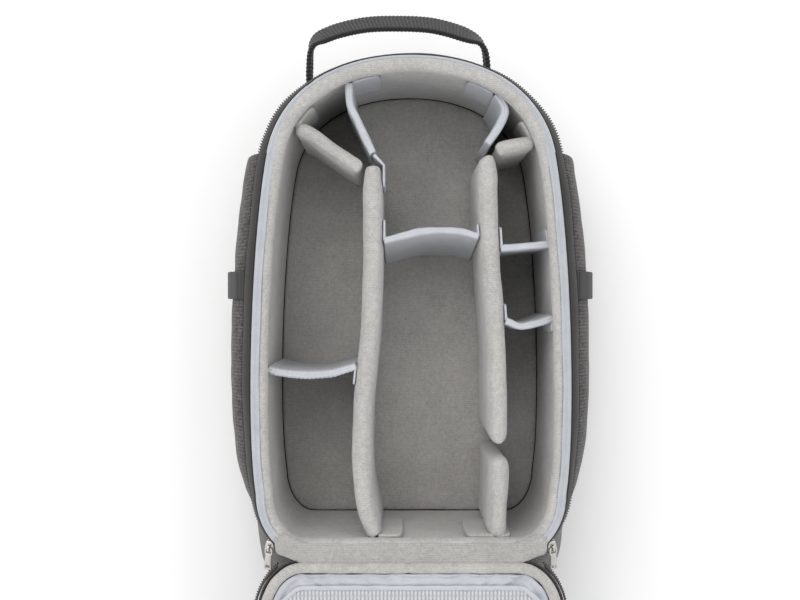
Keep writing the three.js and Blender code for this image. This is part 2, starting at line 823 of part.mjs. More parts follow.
function makeHandle() {
  const z = RIM_Z - HANDLE_BELOW_RIM;
  const curve = new THREE.CatmullRomCurve3(HANDLE_ROUTE.map(({ across, out }) =>
    v3(HANDLE_SHIFT + across * HANDLE_HALF, HANDLE_ROOT_Y + out * HANDLE_REACH, z)));
  const path = curve.getSpacedPoints(22);
  const width = (t) => {
    const lean = smooth(THREE.MathUtils.clamp(Math.min(t, 1 - t) / 0.22, 0, 1)) * HANDLE_LEAN;
    return v3(0, -Math.sin(lean), Math.cos(lean));
  };
  const size = () => ({ halfWidth: HANDLE_WIDTH / 2, halfThick: HANDLE_THICK / 2 });
  addPiece("haul_handle", trimmed(ribbon(path, width, size, HANDLE_THICK / 3), { clearOf: [bodyKeepOut] }), "webbing");
}

// Side pockets: a stretched sheet from one seam of the shell to the other, open towards the top

const POCKET_SECTIONS = [
  { along: 0, bulge: 0 },
  { along: 0.05, bulge: 0.34 },
  { along: 0.14, bulge: 0.72 },
  { along: 0.3, bulge: 0.93 },
  { along: 0.5, bulge: 1 },
  { along: 0.75, bulge: 1 },
  { along: 0.93, bulge: 0.94 },
  { along: 1, bulge: 0.9 },
];
const POCKET_ARC_STEPS = 8;
const pocketLow = BACK_Z + POCKET_FROM_BACK;
const pocketHigh = RIM_Z - POCKET_FROM_RIM;

// How far the pocket's face stands off the shell, at a share of its height
const pocketArc = (share) => Math.sin(Math.PI * share) ** 0.6;

function pocketBulge(y) {
  const along = THREE.MathUtils.clamp((y - POCKET_FOOT) / (POCKET_TOP - POCKET_FOOT), 0, 1);
  const at = Math.max(1, POCKET_SECTIONS.findIndex((s) => s.along >= along));
  const [below, above] = [POCKET_SECTIONS[at - 1], POCKET_SECTIONS[at]];
  return POCKET_BULGE * mix(below.bulge, above.bulge, (along - below.along) / (above.along - below.along));
}

// A line of points up the pocket's face at a place along it, standing off by lift and, between its
// seams, by slack as well
function pocketLine(side, y, lift, slack = 0) {
  const points = [];
  for (let k = 0; k <= POCKET_ARC_STEPS; k++) {
    const share = k / POCKET_ARC_STEPS;
    const z = mix(pocketLow, pocketHigh, share);
    const stand = pocketArc(share) * (pocketBulge(y) + slack) + lift;
    points.push(v3(side * (shellHalf(y, z) + stand), y, z));
  }
  return points;
}

function makePockets(side, hand) {
  const rings = POCKET_SECTIONS.map(({ along }) => {
    const y = mix(POCKET_FOOT, POCKET_TOP, along);
    const inner = pocketLine(side, y, POCKET_OFF_SHELL);
    const outer = pocketLine(side, y, POCKET_OFF_SHELL + POCKET_WALL);
    return [...outer, ...inner.reverse()];
  });
  addPiece(`side_pocket_${hand}`, loft(rings), "pocket");

  const web = SIDE_WEB_WIDTH / 2;
  const lines = [-web, web].map((shift) => {
    const y = SIDE_WEB_Y + shift;
    const near = POCKET_OFF_SHELL + POCKET_WALL + 2 * GAP;
    const outer = pocketLine(side, y, near + SIDE_WEB_THICK, SIDE_WEB_SLACK);
    return [...outer, ...pocketLine(side, y, near, SIDE_WEB_SLACK).reverse()];
  });
  addPiece(`side_webbing_${hand}`, loft(lines), "webbing");
}

// Harness, on the side that the pack lies on: padded columns, a yoke, straps, webbing and buckles

function pad({ across, along, depth, low, round }) {
  const shape = new THREE.Shape();
  const [w, h] = [across / 2, along / 2];
  const r = Math.min(round, w, h);
  shape.moveTo(-w + r, -h);
  shape.lineTo(w - r, -h);
  shape.absarc(w - r, -h + r, r, -Math.PI / 2, 0, false);
  shape.lineTo(w, h - r);
  shape.absarc(w - r, h - r, r, 0, Math.PI / 2, false);
  shape.lineTo(-w + r, h);
  shape.absarc(-w + r, h - r, r, Math.PI / 2, Math.PI, false);
  shape.lineTo(-w, -h + r);
  shape.absarc(-w + r, -h + r, r, Math.PI, 1.5 * Math.PI, false);
  const edge = Math.min(PAD_EDGE, depth / 2.5);
  const geometry = new THREE.ExtrudeGeometry(shape, {
    depth: depth - 2 * edge,
    bevelEnabled: true,
    bevelThickness: edge,
    bevelSize: edge,
    bevelOffset: -edge,
    bevelSegments: 2,
    curveSegments: 3,
  });
  geometry.translate(0, 0, low + edge);
  return geometry;
}

// Shoulder strap, from the yoke down to its webbing, as shares of its span
const STRAP_ROUTE = [
  { across: 0.5, along: 1, width: 0.8 },
  { across: 0.56, along: 0.85, width: 0.95 },
  { across: 0.72, along: 0.65, width: 1 },
  { across: 0.85, along: 0.42, width: 1 },
  { across: 0.82, along: 0.22, width: 0.85 },
  { across: 0.75, along: 0.08, width: 0.68 },
  { across: 0.75, along: 0, width: 0.62 },
];

function makeHarness(side, hand) {
  const backPadZ = STRAP_THICK + GAP;
  const backPad = pad({
    across: BACK_PAD_WIDTH,
    along: BACK_PAD_TOP - BACK_PAD_FOOT,
    depth: BACK_PAD_THICK,
    low: backPadZ,
    round: BACK_PAD_ROUND,
  });
  backPad.translate(side * (BACK_PAD_CHANNEL + BACK_PAD_WIDTH) / 2, (BACK_PAD_TOP + BACK_PAD_FOOT) / 2, 0);
  addPiece(`back_pad_${hand}`, backPad, "pad");

  const spot = (across, along) =>
    v3(side * across * STRAP_SPREAD, mix(STRAP_FOOT, YOKE_TOP, along), STRAP_THICK / 2);
  const curve = new THREE.CatmullRomCurve3(STRAP_ROUTE.map((s) => spot(s.across, s.along)));
  const stops = 16;
  const path = curve.getPoints(stops);
  const widths = new THREE.CatmullRomCurve3(STRAP_ROUTE.map((s) => v3(s.width, 0, 0)));
  const size = (t) => ({ halfWidth: (STRAP_WIDTH / 2) * widths.getPoint(t).x, halfThick: STRAP_THICK / 2 });
  const sideways = v3(1, 0, 0);
  addPiece(`shoulder_strap_${hand}`, ribbon(path, () => sideways, size, STRAP_THICK / 2.5), "pad");

  const end = path[stops];
  const buckle = new THREE.BoxGeometry(BUCKLE_WIDTH, BUCKLE_LENGTH, BUCKLE_THICK);
  const buckleY = end.y - BUCKLE_FROM_STRAP - BUCKLE_LENGTH / 2;
  buckle.translate(end.x, buckleY, STRAP_THICK / 2);
  addPiece(`strap_buckle_${hand}`, buckle, "plastic");

  const webFrom = buckleY - BUCKLE_LENGTH / 2 - GAP;
  const web = new THREE.BoxGeometry(WEB_WIDTH, webFrom - WEB_FOOT, WEB_THICK);
  web.translate(end.x, (webFrom + WEB_FOOT) / 2, STRAP_THICK / 2);
  addPiece(`strap_webbing_${hand}`, web, "webbing");
}

function makeYoke() {
  const yoke = pad({
    across: 2 * YOKE_HALF, along: YOKE_TOP - BACK_PAD_TOP - GAP, depth: BACK_PAD_THICK, low: STRAP_THICK + GAP,
    round: BACK_PAD_ROUND,
  });
  yoke.translate(0, (YOKE_TOP + BACK_PAD_TOP + GAP) / 2, 0);
  addPiece("yoke_pad", yoke, "pad");
}

// Zip sliders at the two ends of the main zip, and the pulls hinged on them.
// Each is made about its own origin, with +X along the teeth and +Z out of the tape's face.

function box(w, d, h, x, y, z) {
  const geometry = new THREE.BoxGeometry(w, d, h);
  geometry.translate(x, y, z);
  return geometry;
}

function sliderForm() {
  const leg = (ARCH_SPAN - ARCH_BAR) / 2;
  const foot = -ARCH_BAR;
  const tall = ARCH_HEIGHT - foot;
  return toGeometry(joinedSolids([
    box(SLIDER_LENGTH, SLIDER_WIDTH, SLIDER_THICK, 0, 0, -SLIDER_THICK / 2),
    box(ARCH_BAR, ARCH_WIDTH, tall, -leg, 0, foot + tall / 2),
    box(ARCH_BAR, ARCH_WIDTH, tall, leg, 0, foot + tall / 2),
    box(ARCH_SPAN, ARCH_WIDTH, ARCH_BAR, 0, 0, ARCH_HEIGHT - ARCH_BAR / 2),
  ]));
}

const PIVOT_HEIGHT = (ARCH_HEIGHT - ARCH_BAR) / 2;
const PIVOT_ALONG = ARCH_SPAN / 2 - ARCH_BAR - PULL_RAIL;

function pullForm() {
  const rail = (PULL_WIDTH - PULL_RAIL) / 2;
  const from = -PULL_THICK / 2;
  const eyeEnd = from + PULL_RAIL + PULL_EYE_LENGTH;
  const plate = PULL_LENGTH - eyeEnd;
  const at = (geometry) => geometry.translate(PIVOT_ALONG, 0, PIVOT_HEIGHT);
  return toGeometry(joinedSolids([
    at(box(PULL_THICK, PULL_WIDTH, PULL_THICK, 0, 0, 0)),
    at(box(eyeEnd - from, PULL_RAIL, PULL_THICK, (from + eyeEnd) / 2, rail, 0)),
    at(box(eyeEnd - from, PULL_RAIL, PULL_THICK, (from + eyeEnd) / 2, -rail, 0)),
    at(box(plate, PULL_WIDTH, PULL_THICK, eyeEnd + plate / 2 - 0.1, 0, 0)),
  ]));
}

// Where a slider stands: past the last tooth on the right side, its face along the tape's
function sliderFrame() {
  const { start } = zipRun();
  const { tip } = tapeLine(1, RIM_Z - 1.5);
  const line = outline(tip[0] + GAP + TEETH_SIZE / 2);
  const along = v3(line[start - 1].x - line[start].x, line[start - 1].y - line[start].y, 0).normalize();
  const end = v3(line[start].x, line[start].y, tip[1]);
  const out = v3(-along.y, along.x, 0);
  return { along, end, out };
}

function makeSliders() {
  const { along, end, out } = sliderFrame();
  const face = UP.clone().multiplyScalar(Math.cos(SLIDER_TILT)).addScaledVector(out, Math.sin(SLIDER_TILT));
  const spot = end.clone()
    .addScaledVector(along, SLIDER_LENGTH / 2 + SLIDER_PAST_TEETH)
    .addScaledVector(face, SLIDER_THICK);
  const ahead = along.clone().applyAxisAngle(face, SLIDER_TURN);
  const across = face.clone().cross(ahead);
  const stand = new THREE.Matrix4().makeBasis(ahead, across, face).setPosition(spot);
  const mirror = new THREE.Matrix4().makeScale(-1, 1, 1);
  for (const [name, form] of [["zip_slider", sliderForm], ["zip_pull", pullForm]]) {
    const right = form().applyMatrix4(stand);
    addPiece(`${name}_right`, right, "metal");
    const left = form().applyMatrix4(stand).applyMatrix4(mirror);
    left.index.array.reverse();
    addPiece(`${name}_left`, left, "metal");
  }
}

makeShell();
makeLining();
makeRim();
makePiping();
makeLid();
makeDividers();
makeTabs();
makeHandle();
for (const [side, hand] of [[-1, "left"], [1, "right"]]) {
  makePockets(side, hand);
  makeHarness(side, hand);
}
makeYoke();
makeSliders();

const bounds = new THREE.Box3().setFromObject(pack);
const middle = bounds.getCenter(v3());
pack.position.set(-middle.x, -middle.y, -bounds.min.z);

const camera_backpack = new THREE.Group();
camera_backpack.add(pack);
export default camera_backpack;
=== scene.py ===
"""Looks for the open camera backpack: padding, cloth, webbing and zip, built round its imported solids."""

import math

import bmesh
import bpy
from mathutils import Matrix, Vector, noise


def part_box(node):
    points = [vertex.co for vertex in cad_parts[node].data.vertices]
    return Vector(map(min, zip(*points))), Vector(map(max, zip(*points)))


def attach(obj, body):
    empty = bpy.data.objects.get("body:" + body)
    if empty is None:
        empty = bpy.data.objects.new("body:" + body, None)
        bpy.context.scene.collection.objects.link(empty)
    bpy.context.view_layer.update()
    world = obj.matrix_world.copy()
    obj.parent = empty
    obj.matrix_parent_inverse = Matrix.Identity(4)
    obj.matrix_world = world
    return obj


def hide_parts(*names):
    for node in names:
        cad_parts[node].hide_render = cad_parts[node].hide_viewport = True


bl_info = {
    "name": "Camera backpack",
    "version": (1, 0, 0),
    "blender": (4, 5, 0),
    "location": "View3D > Sidebar > Backpack",
    "description": "Builds an open camera backpack with its dividers, lid and harness",
    "category": "Add Mesh",
}

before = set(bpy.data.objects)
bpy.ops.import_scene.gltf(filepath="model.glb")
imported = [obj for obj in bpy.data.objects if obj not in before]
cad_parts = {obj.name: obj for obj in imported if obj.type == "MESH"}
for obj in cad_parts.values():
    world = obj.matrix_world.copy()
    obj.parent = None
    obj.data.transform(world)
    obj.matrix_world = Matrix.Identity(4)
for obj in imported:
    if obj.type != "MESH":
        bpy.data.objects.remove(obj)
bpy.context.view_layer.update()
MM = 0.001
UP = Vector((0, 0, 1))

# Sizes of the pack, in millimetres, in the pack's own frame: x across, y from the middle of the rim
TOP_REACH = 221
FOOT_REACH = 230
HALF_WIDTH = 146
SHOULDER = (130, 132)
CORNER = (42, 56)
HIP_HALF = 140
BACK_Z = 26.6
SHELL_TOP_Z = 168.6
RIM_Z = 180.6
FLOOR_TOP_Z = 37.4
LINER_IN = -13.3
FOOT_SPREAD = 68
CLOTH = 2
SHELL_SWELL = 8
LID_LENGTH = TOP_REACH + FOOT_REACH
PACK_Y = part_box("rim_binding")[1].y / MM - TOP_REACH
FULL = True
FILL_FRAMES = 20


def at(x, y, z):
    """A point of the pack's own frame, in the scene's metres."""
    return Vector((x * MM, (y + PACK_Y) * MM, z * MM))


def mix(a, b, t):
    return a + (b - a) * t


def clamp(x, low=0.0, high=1.0):
    return max(low, min(high, x))


def ease(t):
    t = clamp(t)
    return t * t * (3 - 2 * t)


def in_table(table, x):
    """Reads a table of (place, value, ...) rows smoothly at x."""
    rows = list(table)
    i = max(0, min(len(rows) - 2, sum(1 for row in rows if row[0] <= x) - 1))
    a, b = rows[i], rows[i + 1]
    t = clamp((x - a[0]) / (b[0] - a[0]))
    before, after = rows[max(i - 1, 0)], rows[min(i + 2, len(rows) - 1)]
    out = []
    for k in range(1, len(a)):
        m0 = (b[k] - before[k]) / max(b[0] - before[0], 1e-9) * (b[0] - a[0])
        m1 = (after[k] - a[k]) / max(after[0] - a[0], 1e-9) * (b[0] - a[0])
        h = t * t * (3 - 2 * t)
        bend = (t**3 - 2 * t**2 + t) * m0 + (t**3 - t**2) * m1
        out.append(mix(a[k], b[k], h) + bend * 0.8)
    return out


def wave(point, size, seed=0.0):
    """Smooth noise from -1 to 1 whose lumps are about size millimetres across."""
    return noise.noise(point / (size * MM) + Vector((seed, 2 * seed, 3 * seed)))


# Plan outline


def bezier(points, t):
    a, b, c, d = points
    s = 1 - t
    return a * s**3 + b * 3 * s * s * t + c * 3 * s * t * t + d * t**3


def half_outline(spread):
    foot = -FOOT_REACH - spread
    hip = foot + CORNER[1]
    flat = HIP_HALF - CORNER[0]
    high = mix(CORNER[1] - FOOT_REACH, SHOULDER[1], 0.737)
    side = [
        Vector((HIP_HALF, hip)),
        Vector((1.02 * HALF_WIDTH, mix(hip, SHOULDER[1], 0.19))),
        Vector((0.99 * HALF_WIDTH, high)),
        Vector(SHOULDER),
    ]
    arch = [
        Vector(SHOULDER),
        Vector((0.93 * SHOULDER[0], mix(SHOULDER[1], TOP_REACH, 0.56))),
        Vector((0.6 * SHOULDER[0], TOP_REACH)),
        Vector((0, TOP_REACH)),
    ]
    points = [Vector((flat * i / 14, foot)) for i in range(15)]
    for i in range(1, 13):
        a = math.radians(90 * i / 12)
        points.append(Vector((flat + CORNER[0] * math.sin(a), hip - CORNER[1] * math.cos(a))))
    points += [bezier(side, i / 40) for i in range(1, 41)]
    points += [bezier(arch, i / 30) for i in range(1, 31)]
    return points


def edge_of(spread=0.0):
    """The plan outline as (point, outward normal) pairs, up the right side and down the left."""
    half = half_outline(spread)
    last = len(half) - 1
    right = []
    for i, p in enumerate(half):
        if i in (0, last):
            right.append((p, Vector((0, 1 if i else -1))))
            continue
        along = (half[i + 1] - half[i - 1]).normalized()
        right.append((p, Vector((along.y, -along.x))))
    left = [(Vector((-p.x, p.y)), Vector((-n.x, n.y))) for p, n in reversed(right[1:last])]
    return right + left


def outline(offset=0.0, spread=0.0):
    return [p + n * offset for p, n in edge_of(spread)]


EDGE = edge_of()
RING = len(EDGE)
TOP_INDEX = RING // 2


def edge_at(i):
    """The outline's point and outward normal at a place counted in EDGE's steps."""
    whole = math.floor(i)
    (p, n), (q, m) = EDGE[whole % RING], EDGE[(whole + 1) % RING]
    return p.lerp(q, i - whole), n.lerp(m, i - whole).normalized()


def inside(point, ring):
    """True if a plan point lies inside a ring of plan points."""
    odd = False
    for a, b in zip(ring, ring[1:] + ring[:1]):
        if (a.y > point.y) != (b.y > point.y):
            odd ^= point.x < a.x + (point.y - a.y) / (b.y - a.y) * (b.x - a.x)
    return odd


def shrunk(ring, t, low=-150, high=120):
    """A plan ring drawn in by a share t towards the line down its middle."""
    return [Vector((p.x * (1 - t), mix(p.y, clamp(p.y, low, high), t))) for p in ring]


def arc_lengths(points, closed=True):
    total, out = 0.0, [0.0]
    last = len(points) if closed else len(points) - 1
    for i in range(last):
        total += (points[(i + 1) % len(points)] - points[i]).length
        out.append(total)
    return out


# Mesh building: rings of vertices pulled along with extrude, and skins with a map in metres


class Skin:
    """A mesh grown ring by ring, with a UV map that counts metres round and along it."""

    def __init__(self):
        self.bm = bmesh.new()
        self.uv = self.bm.loops.layers.uv.new("UVMap")
        self.spot = {}
        self.first = self.last = None
        self.joined = False

    def ring(self, points, along=None, closed=True):
        """Adds the next ring: the first one is drawn, and each later one is extruded from the last."""
        lengths = arc_lengths(points, closed)
        if self.last is None:
            self.last = [self.bm.verts.new(p) for p in points]
            count = len(points) if closed else len(points) - 1
            for i in range(count):
                self.bm.edges.new((self.last[i], self.last[(i + 1) % len(points)]))
            self.first = list(self.last)
            self.travel = 0.0
        else:
            old = self.last
            mid = len(points) // 2
            self.travel += (old[mid].co - points[mid]).length
            edges = [
                self.bm.edges.get((old[i], old[(i + 1) % len(old)]))
                for i in range(len(old) if closed else len(old) - 1)
            ]
            made = bmesh.ops.extrude_edge_only(self.bm, edges=edges)["geom"]
            fresh = {v for v in made if isinstance(v, bmesh.types.BMVert)}
            self.last = []
            for v, p in zip(old, points):
                mate = next(e.other_vert(v) for e in v.link_edges if e.other_vert(v) in fresh)
                mate.co = p
                self.last.append(mate)
        v = self.travel if along is None else along
        for vert, u in zip(self.last, lengths):
            self.spot[vert] = (u, v, lengths[-1] if closed else 0.0)
        return self.last

    def close_path(self):
        """Joins the last ring back to the first one."""
        self.joined = True
        edges = []
        for ring in (self.first, self.last):
            n = len(ring)
            edges += [self.bm.edges.get((ring[i], ring[(i + 1) % n])) for i in range(n)]
        bmesh.ops.bridge_loops(self.bm, edges=edges)

    def cap(self, ring):
        n = len(ring)
        edges = [self.bm.edges.get((ring[i], ring[(i + 1) % n])) for i in range(n)]
        bmesh.ops.edgeloop_fill(self.bm, edges=edges)

    def map_faces(self):
        top = max((s[1] for s in self.spot.values()), default=0.0)
        for face in self.bm.faces:
            known = [self.spot.get(loop.vert) for loop in face.loops]
            if any(k is None for k in known):
                for loop in face.loops:
                    loop[self.uv].uv = (loop.vert.co.x, loop.vert.co.y)
                continue
            us = [k[0] for k in known]
            vs = [k[1] for k in known]
            wraps = known[0][2] and max(us) - min(us) > known[0][2] / 2
            folds = self.joined and max(vs) - min(vs) > top / 2
            for loop, k in zip(face.loops, known):
                u = k[0] + (k[2] if wraps and k[0] < k[2] / 2 else 0.0)
                v = k[1] + (top if folds and k[1] < top / 2 else 0.0)
                loop[self.uv].uv = (u, v)

    def weld(self):
        bmesh.ops.remove_doubles(self.bm, verts=self.bm.verts, dist=1e-5)

    def push(self, how):
        """Moves every vertex along its normal by how(point, u, v), in millimetres."""
        bmesh.ops.recalc_face_normals(self.bm, faces=self.bm.faces)
        self.bm.normal_update()
        shifts = []
        for v in self.bm.verts:
            mark = self.spot.get(v, (0.0, 0.0, 0.0))
            shifts.append((v, v.normal.copy() * how(v.co, mark[0], mark[1]) * MM))
        for v, shift in shifts:
            v.co += shift

    def finish(self, name, levels=1):
        bmesh.ops.recalc_face_normals(self.bm, faces=self.bm.faces)
        self.map_faces()
        return finished(name, self.bm, levels)


def finished(name, bm, levels=0, smooth=True):
    mesh = bpy.data.meshes.new(name)
    for face in bm.faces:
        face.smooth = smooth
    bm.to_mesh(mesh)
    bm.free()
    piece = bpy.data.objects.new(name, mesh)
    bpy.context.scene.collection.objects.link(piece)
    if levels:
        sub = piece.modifiers.new("Smooth", "SUBSURF")
        sub.levels = sub.render_levels = levels
    return piece


def dress(piece, material, body="pack", node=None):
    piece.data.materials.append(material)
    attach(piece, body)
    if node:
        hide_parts(*([node] if isinstance(node, str) else node))
    return piece


def cut(piece):
    """Returns the piece as it is."""
    return piece


def stuffed(piece, voxel=3.7, cap=1.1, pressure=4.0):
    """Fills a closed pad in a cloth simulation and keeps how it settles as its mesh."""
    if not FULL:
        return piece
    scene = bpy.context.scene
    piece.modifiers.clear()
    even = piece.modifiers.new("Even", "REMESH")
    even.mode = "VOXEL"
    even.voxel_size = voxel * MM
    mesh = bpy.data.meshes.new_from_object(piece.evaluated_get(bpy.context.evaluated_depsgraph_get()))
    mesh.name = piece.name
    piece.modifiers.clear()
    piece.data = mesh
    cloth = piece.modifiers.new("Fill", "CLOTH")
    cloth.settings.use_pressure = True
    cloth.settings.uniform_pressure_force = pressure
    cloth.settings.quality = 4
    cloth.settings.effector_weights.gravity = 0
    cloth.point_cache.frame_start, cloth.point_cache.frame_end = 1, FILL_FRAMES
    for moment in range(1, FILL_FRAMES + 1):
        scene.frame_set(moment)
    settled = piece.evaluated_get(bpy.context.evaluated_depsgraph_get())
    places = [v.co.copy() for v in settled.data.vertices]
    piece.modifiers.clear()
    for v, end in zip(mesh.vertices, places):
        move = end - v.co
        if move.length > cap * MM:
            move *= cap * MM / move.length
        v.co += move
    scene.frame_set(1)
    for face in mesh.polygons:
        face.use_smooth = True
    sub = piece.modifiers.new("Smooth", "SUBSURF")
    sub.levels = sub.render_levels = 1
    return piece


def pressed(piece, how):
    """Moves each vertex of a finished piece by how(point, normal), in millimetres, as a dent does."""
    mesh = piece.data
    normals = [v.normal.copy() for v in mesh.vertices]
    for v, n in zip(mesh.vertices, normals):
        v.co += how(v.co, n) * MM
    return piece


def walled(piece, thick):
    """Gives a one-sided cloth shell its thickness, inwards, and rounds it."""
    wall = piece.modifiers.new("Wall", "SOLIDIFY")
    wall.thickness = thick * MM
    wall.offset = -1
    sub = piece.modifiers.new("Smooth", "SUBSURF")
    sub.levels = sub.render_levels = 1
    return piece


def dense(path, count, closed=False):
    """count points spaced evenly by length along a smooth curve through path."""
    points = list(path)
    fine = []
    n = len(points)
    spans = n if closed else n - 1
    for i in range(spans):
        p0 = points[(i - 1) % n] if closed or i else points[0] * 2 - points[1]
        p1, p2 = points[i % n], points[(i + 1) % n]
        p3 = points[(i + 2) % n] if closed or i + 2 < n else points[-1] * 2 - points[-2]
        for k in range(16):
            t = k / 16
            fine.append(
                0.5
                * (
                    2 * p1
                    + (p2 - p0) * t
                    + (2 * p0 - 5 * p1 + 4 * p2 - p3) * t * t
                    + (3 * p1 - p0 - 3 * p2 + p3) * t**3
                )
            )
    if not closed:
        fine.append(points[-1].copy())
    lengths = arc_lengths(fine, closed)
    total = lengths[-1]
    out, j = [], 0
    steps = count if closed else count - 1
    for i in range(count):
        want = total * i / steps
        while j < len(lengths) - 2 and lengths[j + 1] < want:
            j += 1
        t = (want - lengths[j]) / max(lengths[j + 1] - lengths[j], 1e-9)
        out.append(fine[j % len(fine)].lerp(fine[(j + 1) % len(fine)], clamp(t)))
    return out


def rounded(width, thick, radius, side=6, turn=4):
    """Points round a rounded rectangle, as (across, out) pairs, from the middle of one face."""
    w, t = width / 2, thick / 2
    r = min(radius, w, t)
    corners = [(w - r, t - r, 0), (w - r, -t + r, 1), (-w + r, -t + r, 2), (-w + r, t - r, 3)]
    out = []
    for k, (cx, cy, quarter) in enumerate(corners):
        for i in range(turn + 1):
            a = math.pi / 2 * (1 - quarter - i / turn)
            out.append((cx + r * math.cos(a), cy + r * math.sin(a)))
        nx, ny, _ = corners[(k + 1) % 4]
        long = abs(nx - cx) + abs(ny - cy)
        a = math.pi / 2 * (-quarter)
        sx, sy = cx + r * math.cos(a), cy + r * math.sin(a)
        ex, ey = nx + r * math.cos(a), ny + r * math.sin(a)
        if long > r:
            count = max(1, round(side * long / max(width, thick)))
            for i in range(1, count):
                out.append((mix(sx, ex, i / count), mix(sy, ey, i / count)))
    return out


def sweep(path, wide, section, closed=False, round_ends=0, shape=None, skin=None):
    """Pulls a section along a path.

    wide(t) is the direction of its width, and shape(t) its shares of width and thickness.
    """
    skin = skin or Skin()
    skin.last = None
    n = len(path)
    rings = []
    for i, p in enumerate(path):
        before = path[(i - 1) % n] if closed else path[max(i - 1, 0)]
        after = path[(i + 1) % n] if closed else path[min(i + 1, n - 1)]
        along = (after - before).normalized()
        t = i / (n - 1)
        across = wide(t)
        across = (across - along * across.dot(along)).normalized()
        out = along.cross(across)
        sw, st = shape(t) if shape else (1.0, 1.0)
        rings.append([p + (across * (a * sw) + out * (b * st)) * MM for a, b in section])
    if round_ends:
        for end, step in ((0, -1), (-1, 1)):
            base = rings[end]
            centre = sum(base, Vector()) / len(base)
            along = (path[end] - path[1 if end == 0 else -2]).normalized()
            extra = []
            for k in (1, 2, 3):
                a = math.pi / 2 * k / 3.2
                share = math.cos(a)
                shift = along * (round_ends * math.sin(a) * MM)
                across = wide(0 if end == 0 else 1)
                ring = []
                for q in base:
                    d = q - centre
                    w = across * d.dot(across)
                    ring.append(centre + w * mix(1, share, 0.12) + (d - w) * share + shift)
                extra.append(ring)
            rings = list(reversed(extra)) + rings if end == 0 else rings + extra
    for ring in rings:
        skin.ring(ring)
    if closed:
        skin.close_path()
    else:
        skin.cap(skin.first)
        skin.cap(skin.last)
    return skin


# Shader nodes written as sums


class Wire:
    """A node's output that can be used in sums; each sum adds the Math node that works it out."""

    def __init__(self, tree, socket):
        self.tree, self.socket = tree, socket

    def math(self, operation, *others, clamp_it=False):
        node = self.tree.nodes.new("ShaderNodeMath")
        node.operation = operation
        node.use_clamp = clamp_it
        for k, value in enumerate((self, *others)):
            if isinstance(value, Wire):
                self.tree.links.new(value.socket, node.inputs[k])
            else:
                node.inputs[k].default_value = value
        return Wire(self.tree, node.outputs[0])

    def turned(self, operation, other):
        node = self.tree.nodes.new("ShaderNodeMath")
        node.operation = operation
        node.inputs[0].default_value = other
        self.tree.links.new(self.socket, node.inputs[1])
        return Wire(self.tree, node.outputs[0])

    def __add__(self, other):
        return self.math("ADD", other)

    __radd__ = __add__

    def __sub__(self, other):
        return self.math("SUBTRACT", other)

    def __rsub__(self, other):
        return self.turned("SUBTRACT", other)

    def __mul__(self, other):
        return self.math("MULTIPLY", other)

    __rmul__ = __mul__

    def __truediv__(self, other):
        return self.math("DIVIDE", other)

    def __rtruediv__(self, other):
        return self.turned("DIVIDE", other)

    def __pow__(self, other):
        return self.math("POWER", other)

    def __neg__(self):
        return self * -1.0

    def __abs__(self):
        return self.math("ABSOLUTE")

    def __gt__(self, other):
        return self.math("GREATER_THAN", other)

    def __lt__(self, other):
        return self.math("LESS_THAN", other)

    def sin(self):
        return self.math("SINE")

    def fract(self):
        return self.math("FRACT")

    def floor(self):
        return self.math("FLOOR")

    def held(self):
        """Clamped from 0 to 1."""
        return self.math("ADD", 0.0, clamp_it=True)

    def wave(self, pitch):
        """From 0 to 1 and back once each pitch, in metres."""
        return (self * (2 * math.pi / pitch)).sin() * 0.5 + 0.5


class Finish:
    """A material whose nodes are added by name, with a shader whose sockets are set by name."""

    def __init__(self, name, **constants):
        self.material = bpy.data.materials.new(name)
        self.material.use_nodes = True
        self.tree = self.material.node_tree
        self.shader = self.tree.nodes["Principled BSDF"]
        for socket, value in constants.items():
            self.shader.inputs[socket.replace("_", " ")].default_value = value

    def node(self, kind, settings=None, output=0, **values):
        node = self.tree.nodes.new(kind)
        for name, value in (settings or {}).items():
            if name == "stops":
                ramp = node.color_ramp
                for k, (place, colour) in enumerate(value):
                    stop = ramp.elements[k] if k < 2 else ramp.elements.new(place)
                    stop.position, stop.color = place, colour
            else:
                setattr(node, name, value)
        for name, value in values.items():
            key = int(name[1:]) if name[0] == "i" and name[1:].isdigit() else name.replace("_", " ")
            if isinstance(value, Wire):
                self.tree.links.new(value.socket, node.inputs[key])
            else:
                node.inputs[key].default_value = value
        return Wire(self.tree, node.outputs[output])

    def feed(self, **links):
        for name, wire in links.items():
            self.tree.links.new(wire.socket, self.shader.inputs[name.replace("_", " ")])

    def place(self):
        return self.node("ShaderNodeTexCoord", output="Object")

    def map(self):
        """The two directions of the piece's own map, in metres."""
        uv = self.node("ShaderNodeUVMap", {"uv_map": "UVMap"})
        u = self.node("ShaderNodeSeparateXYZ", Vector=uv)
        return u, Wire(self.tree, u.socket.node.outputs[1])

    def axes(self):
        x = self.node("ShaderNodeSeparateXYZ", Vector=self.place())
        outputs = x.socket.node.outputs
        return [Wire(self.tree, outputs[k]) for k in range(3)]

    def grain(self, size, detail=2.0, rough=0.5, where=None):
        """Noise from 0 to 1 whose lumps are about size metres across."""
        return self.node(
            "ShaderNodeTexNoise",
            {"noise_dimensions": "3D"},
            Vector=where or self.place(),
            Scale=1.0 / size,
            Detail=detail,
            Roughness=rough,
        )

    def blend(self, factor, a, b):
        """Mixes two colours."""
        return self.node(
            "ShaderNodeMix", {"data_type": "RGBA"}, output=2, i0=factor, i6=a, i7=b
        )

    def bump(self, height, depth, strength=1.0):
        """Feeds the shader's normal from a height of 0 to 1, depth in metres."""
        bump = self.node("ShaderNodeBump", Height=height, Distance=depth, Strength=strength)
        self.feed(Normal=bump)


def shade(colour, k):
    return (*[clamp(c * k) for c in colour[:3]], 1.0)


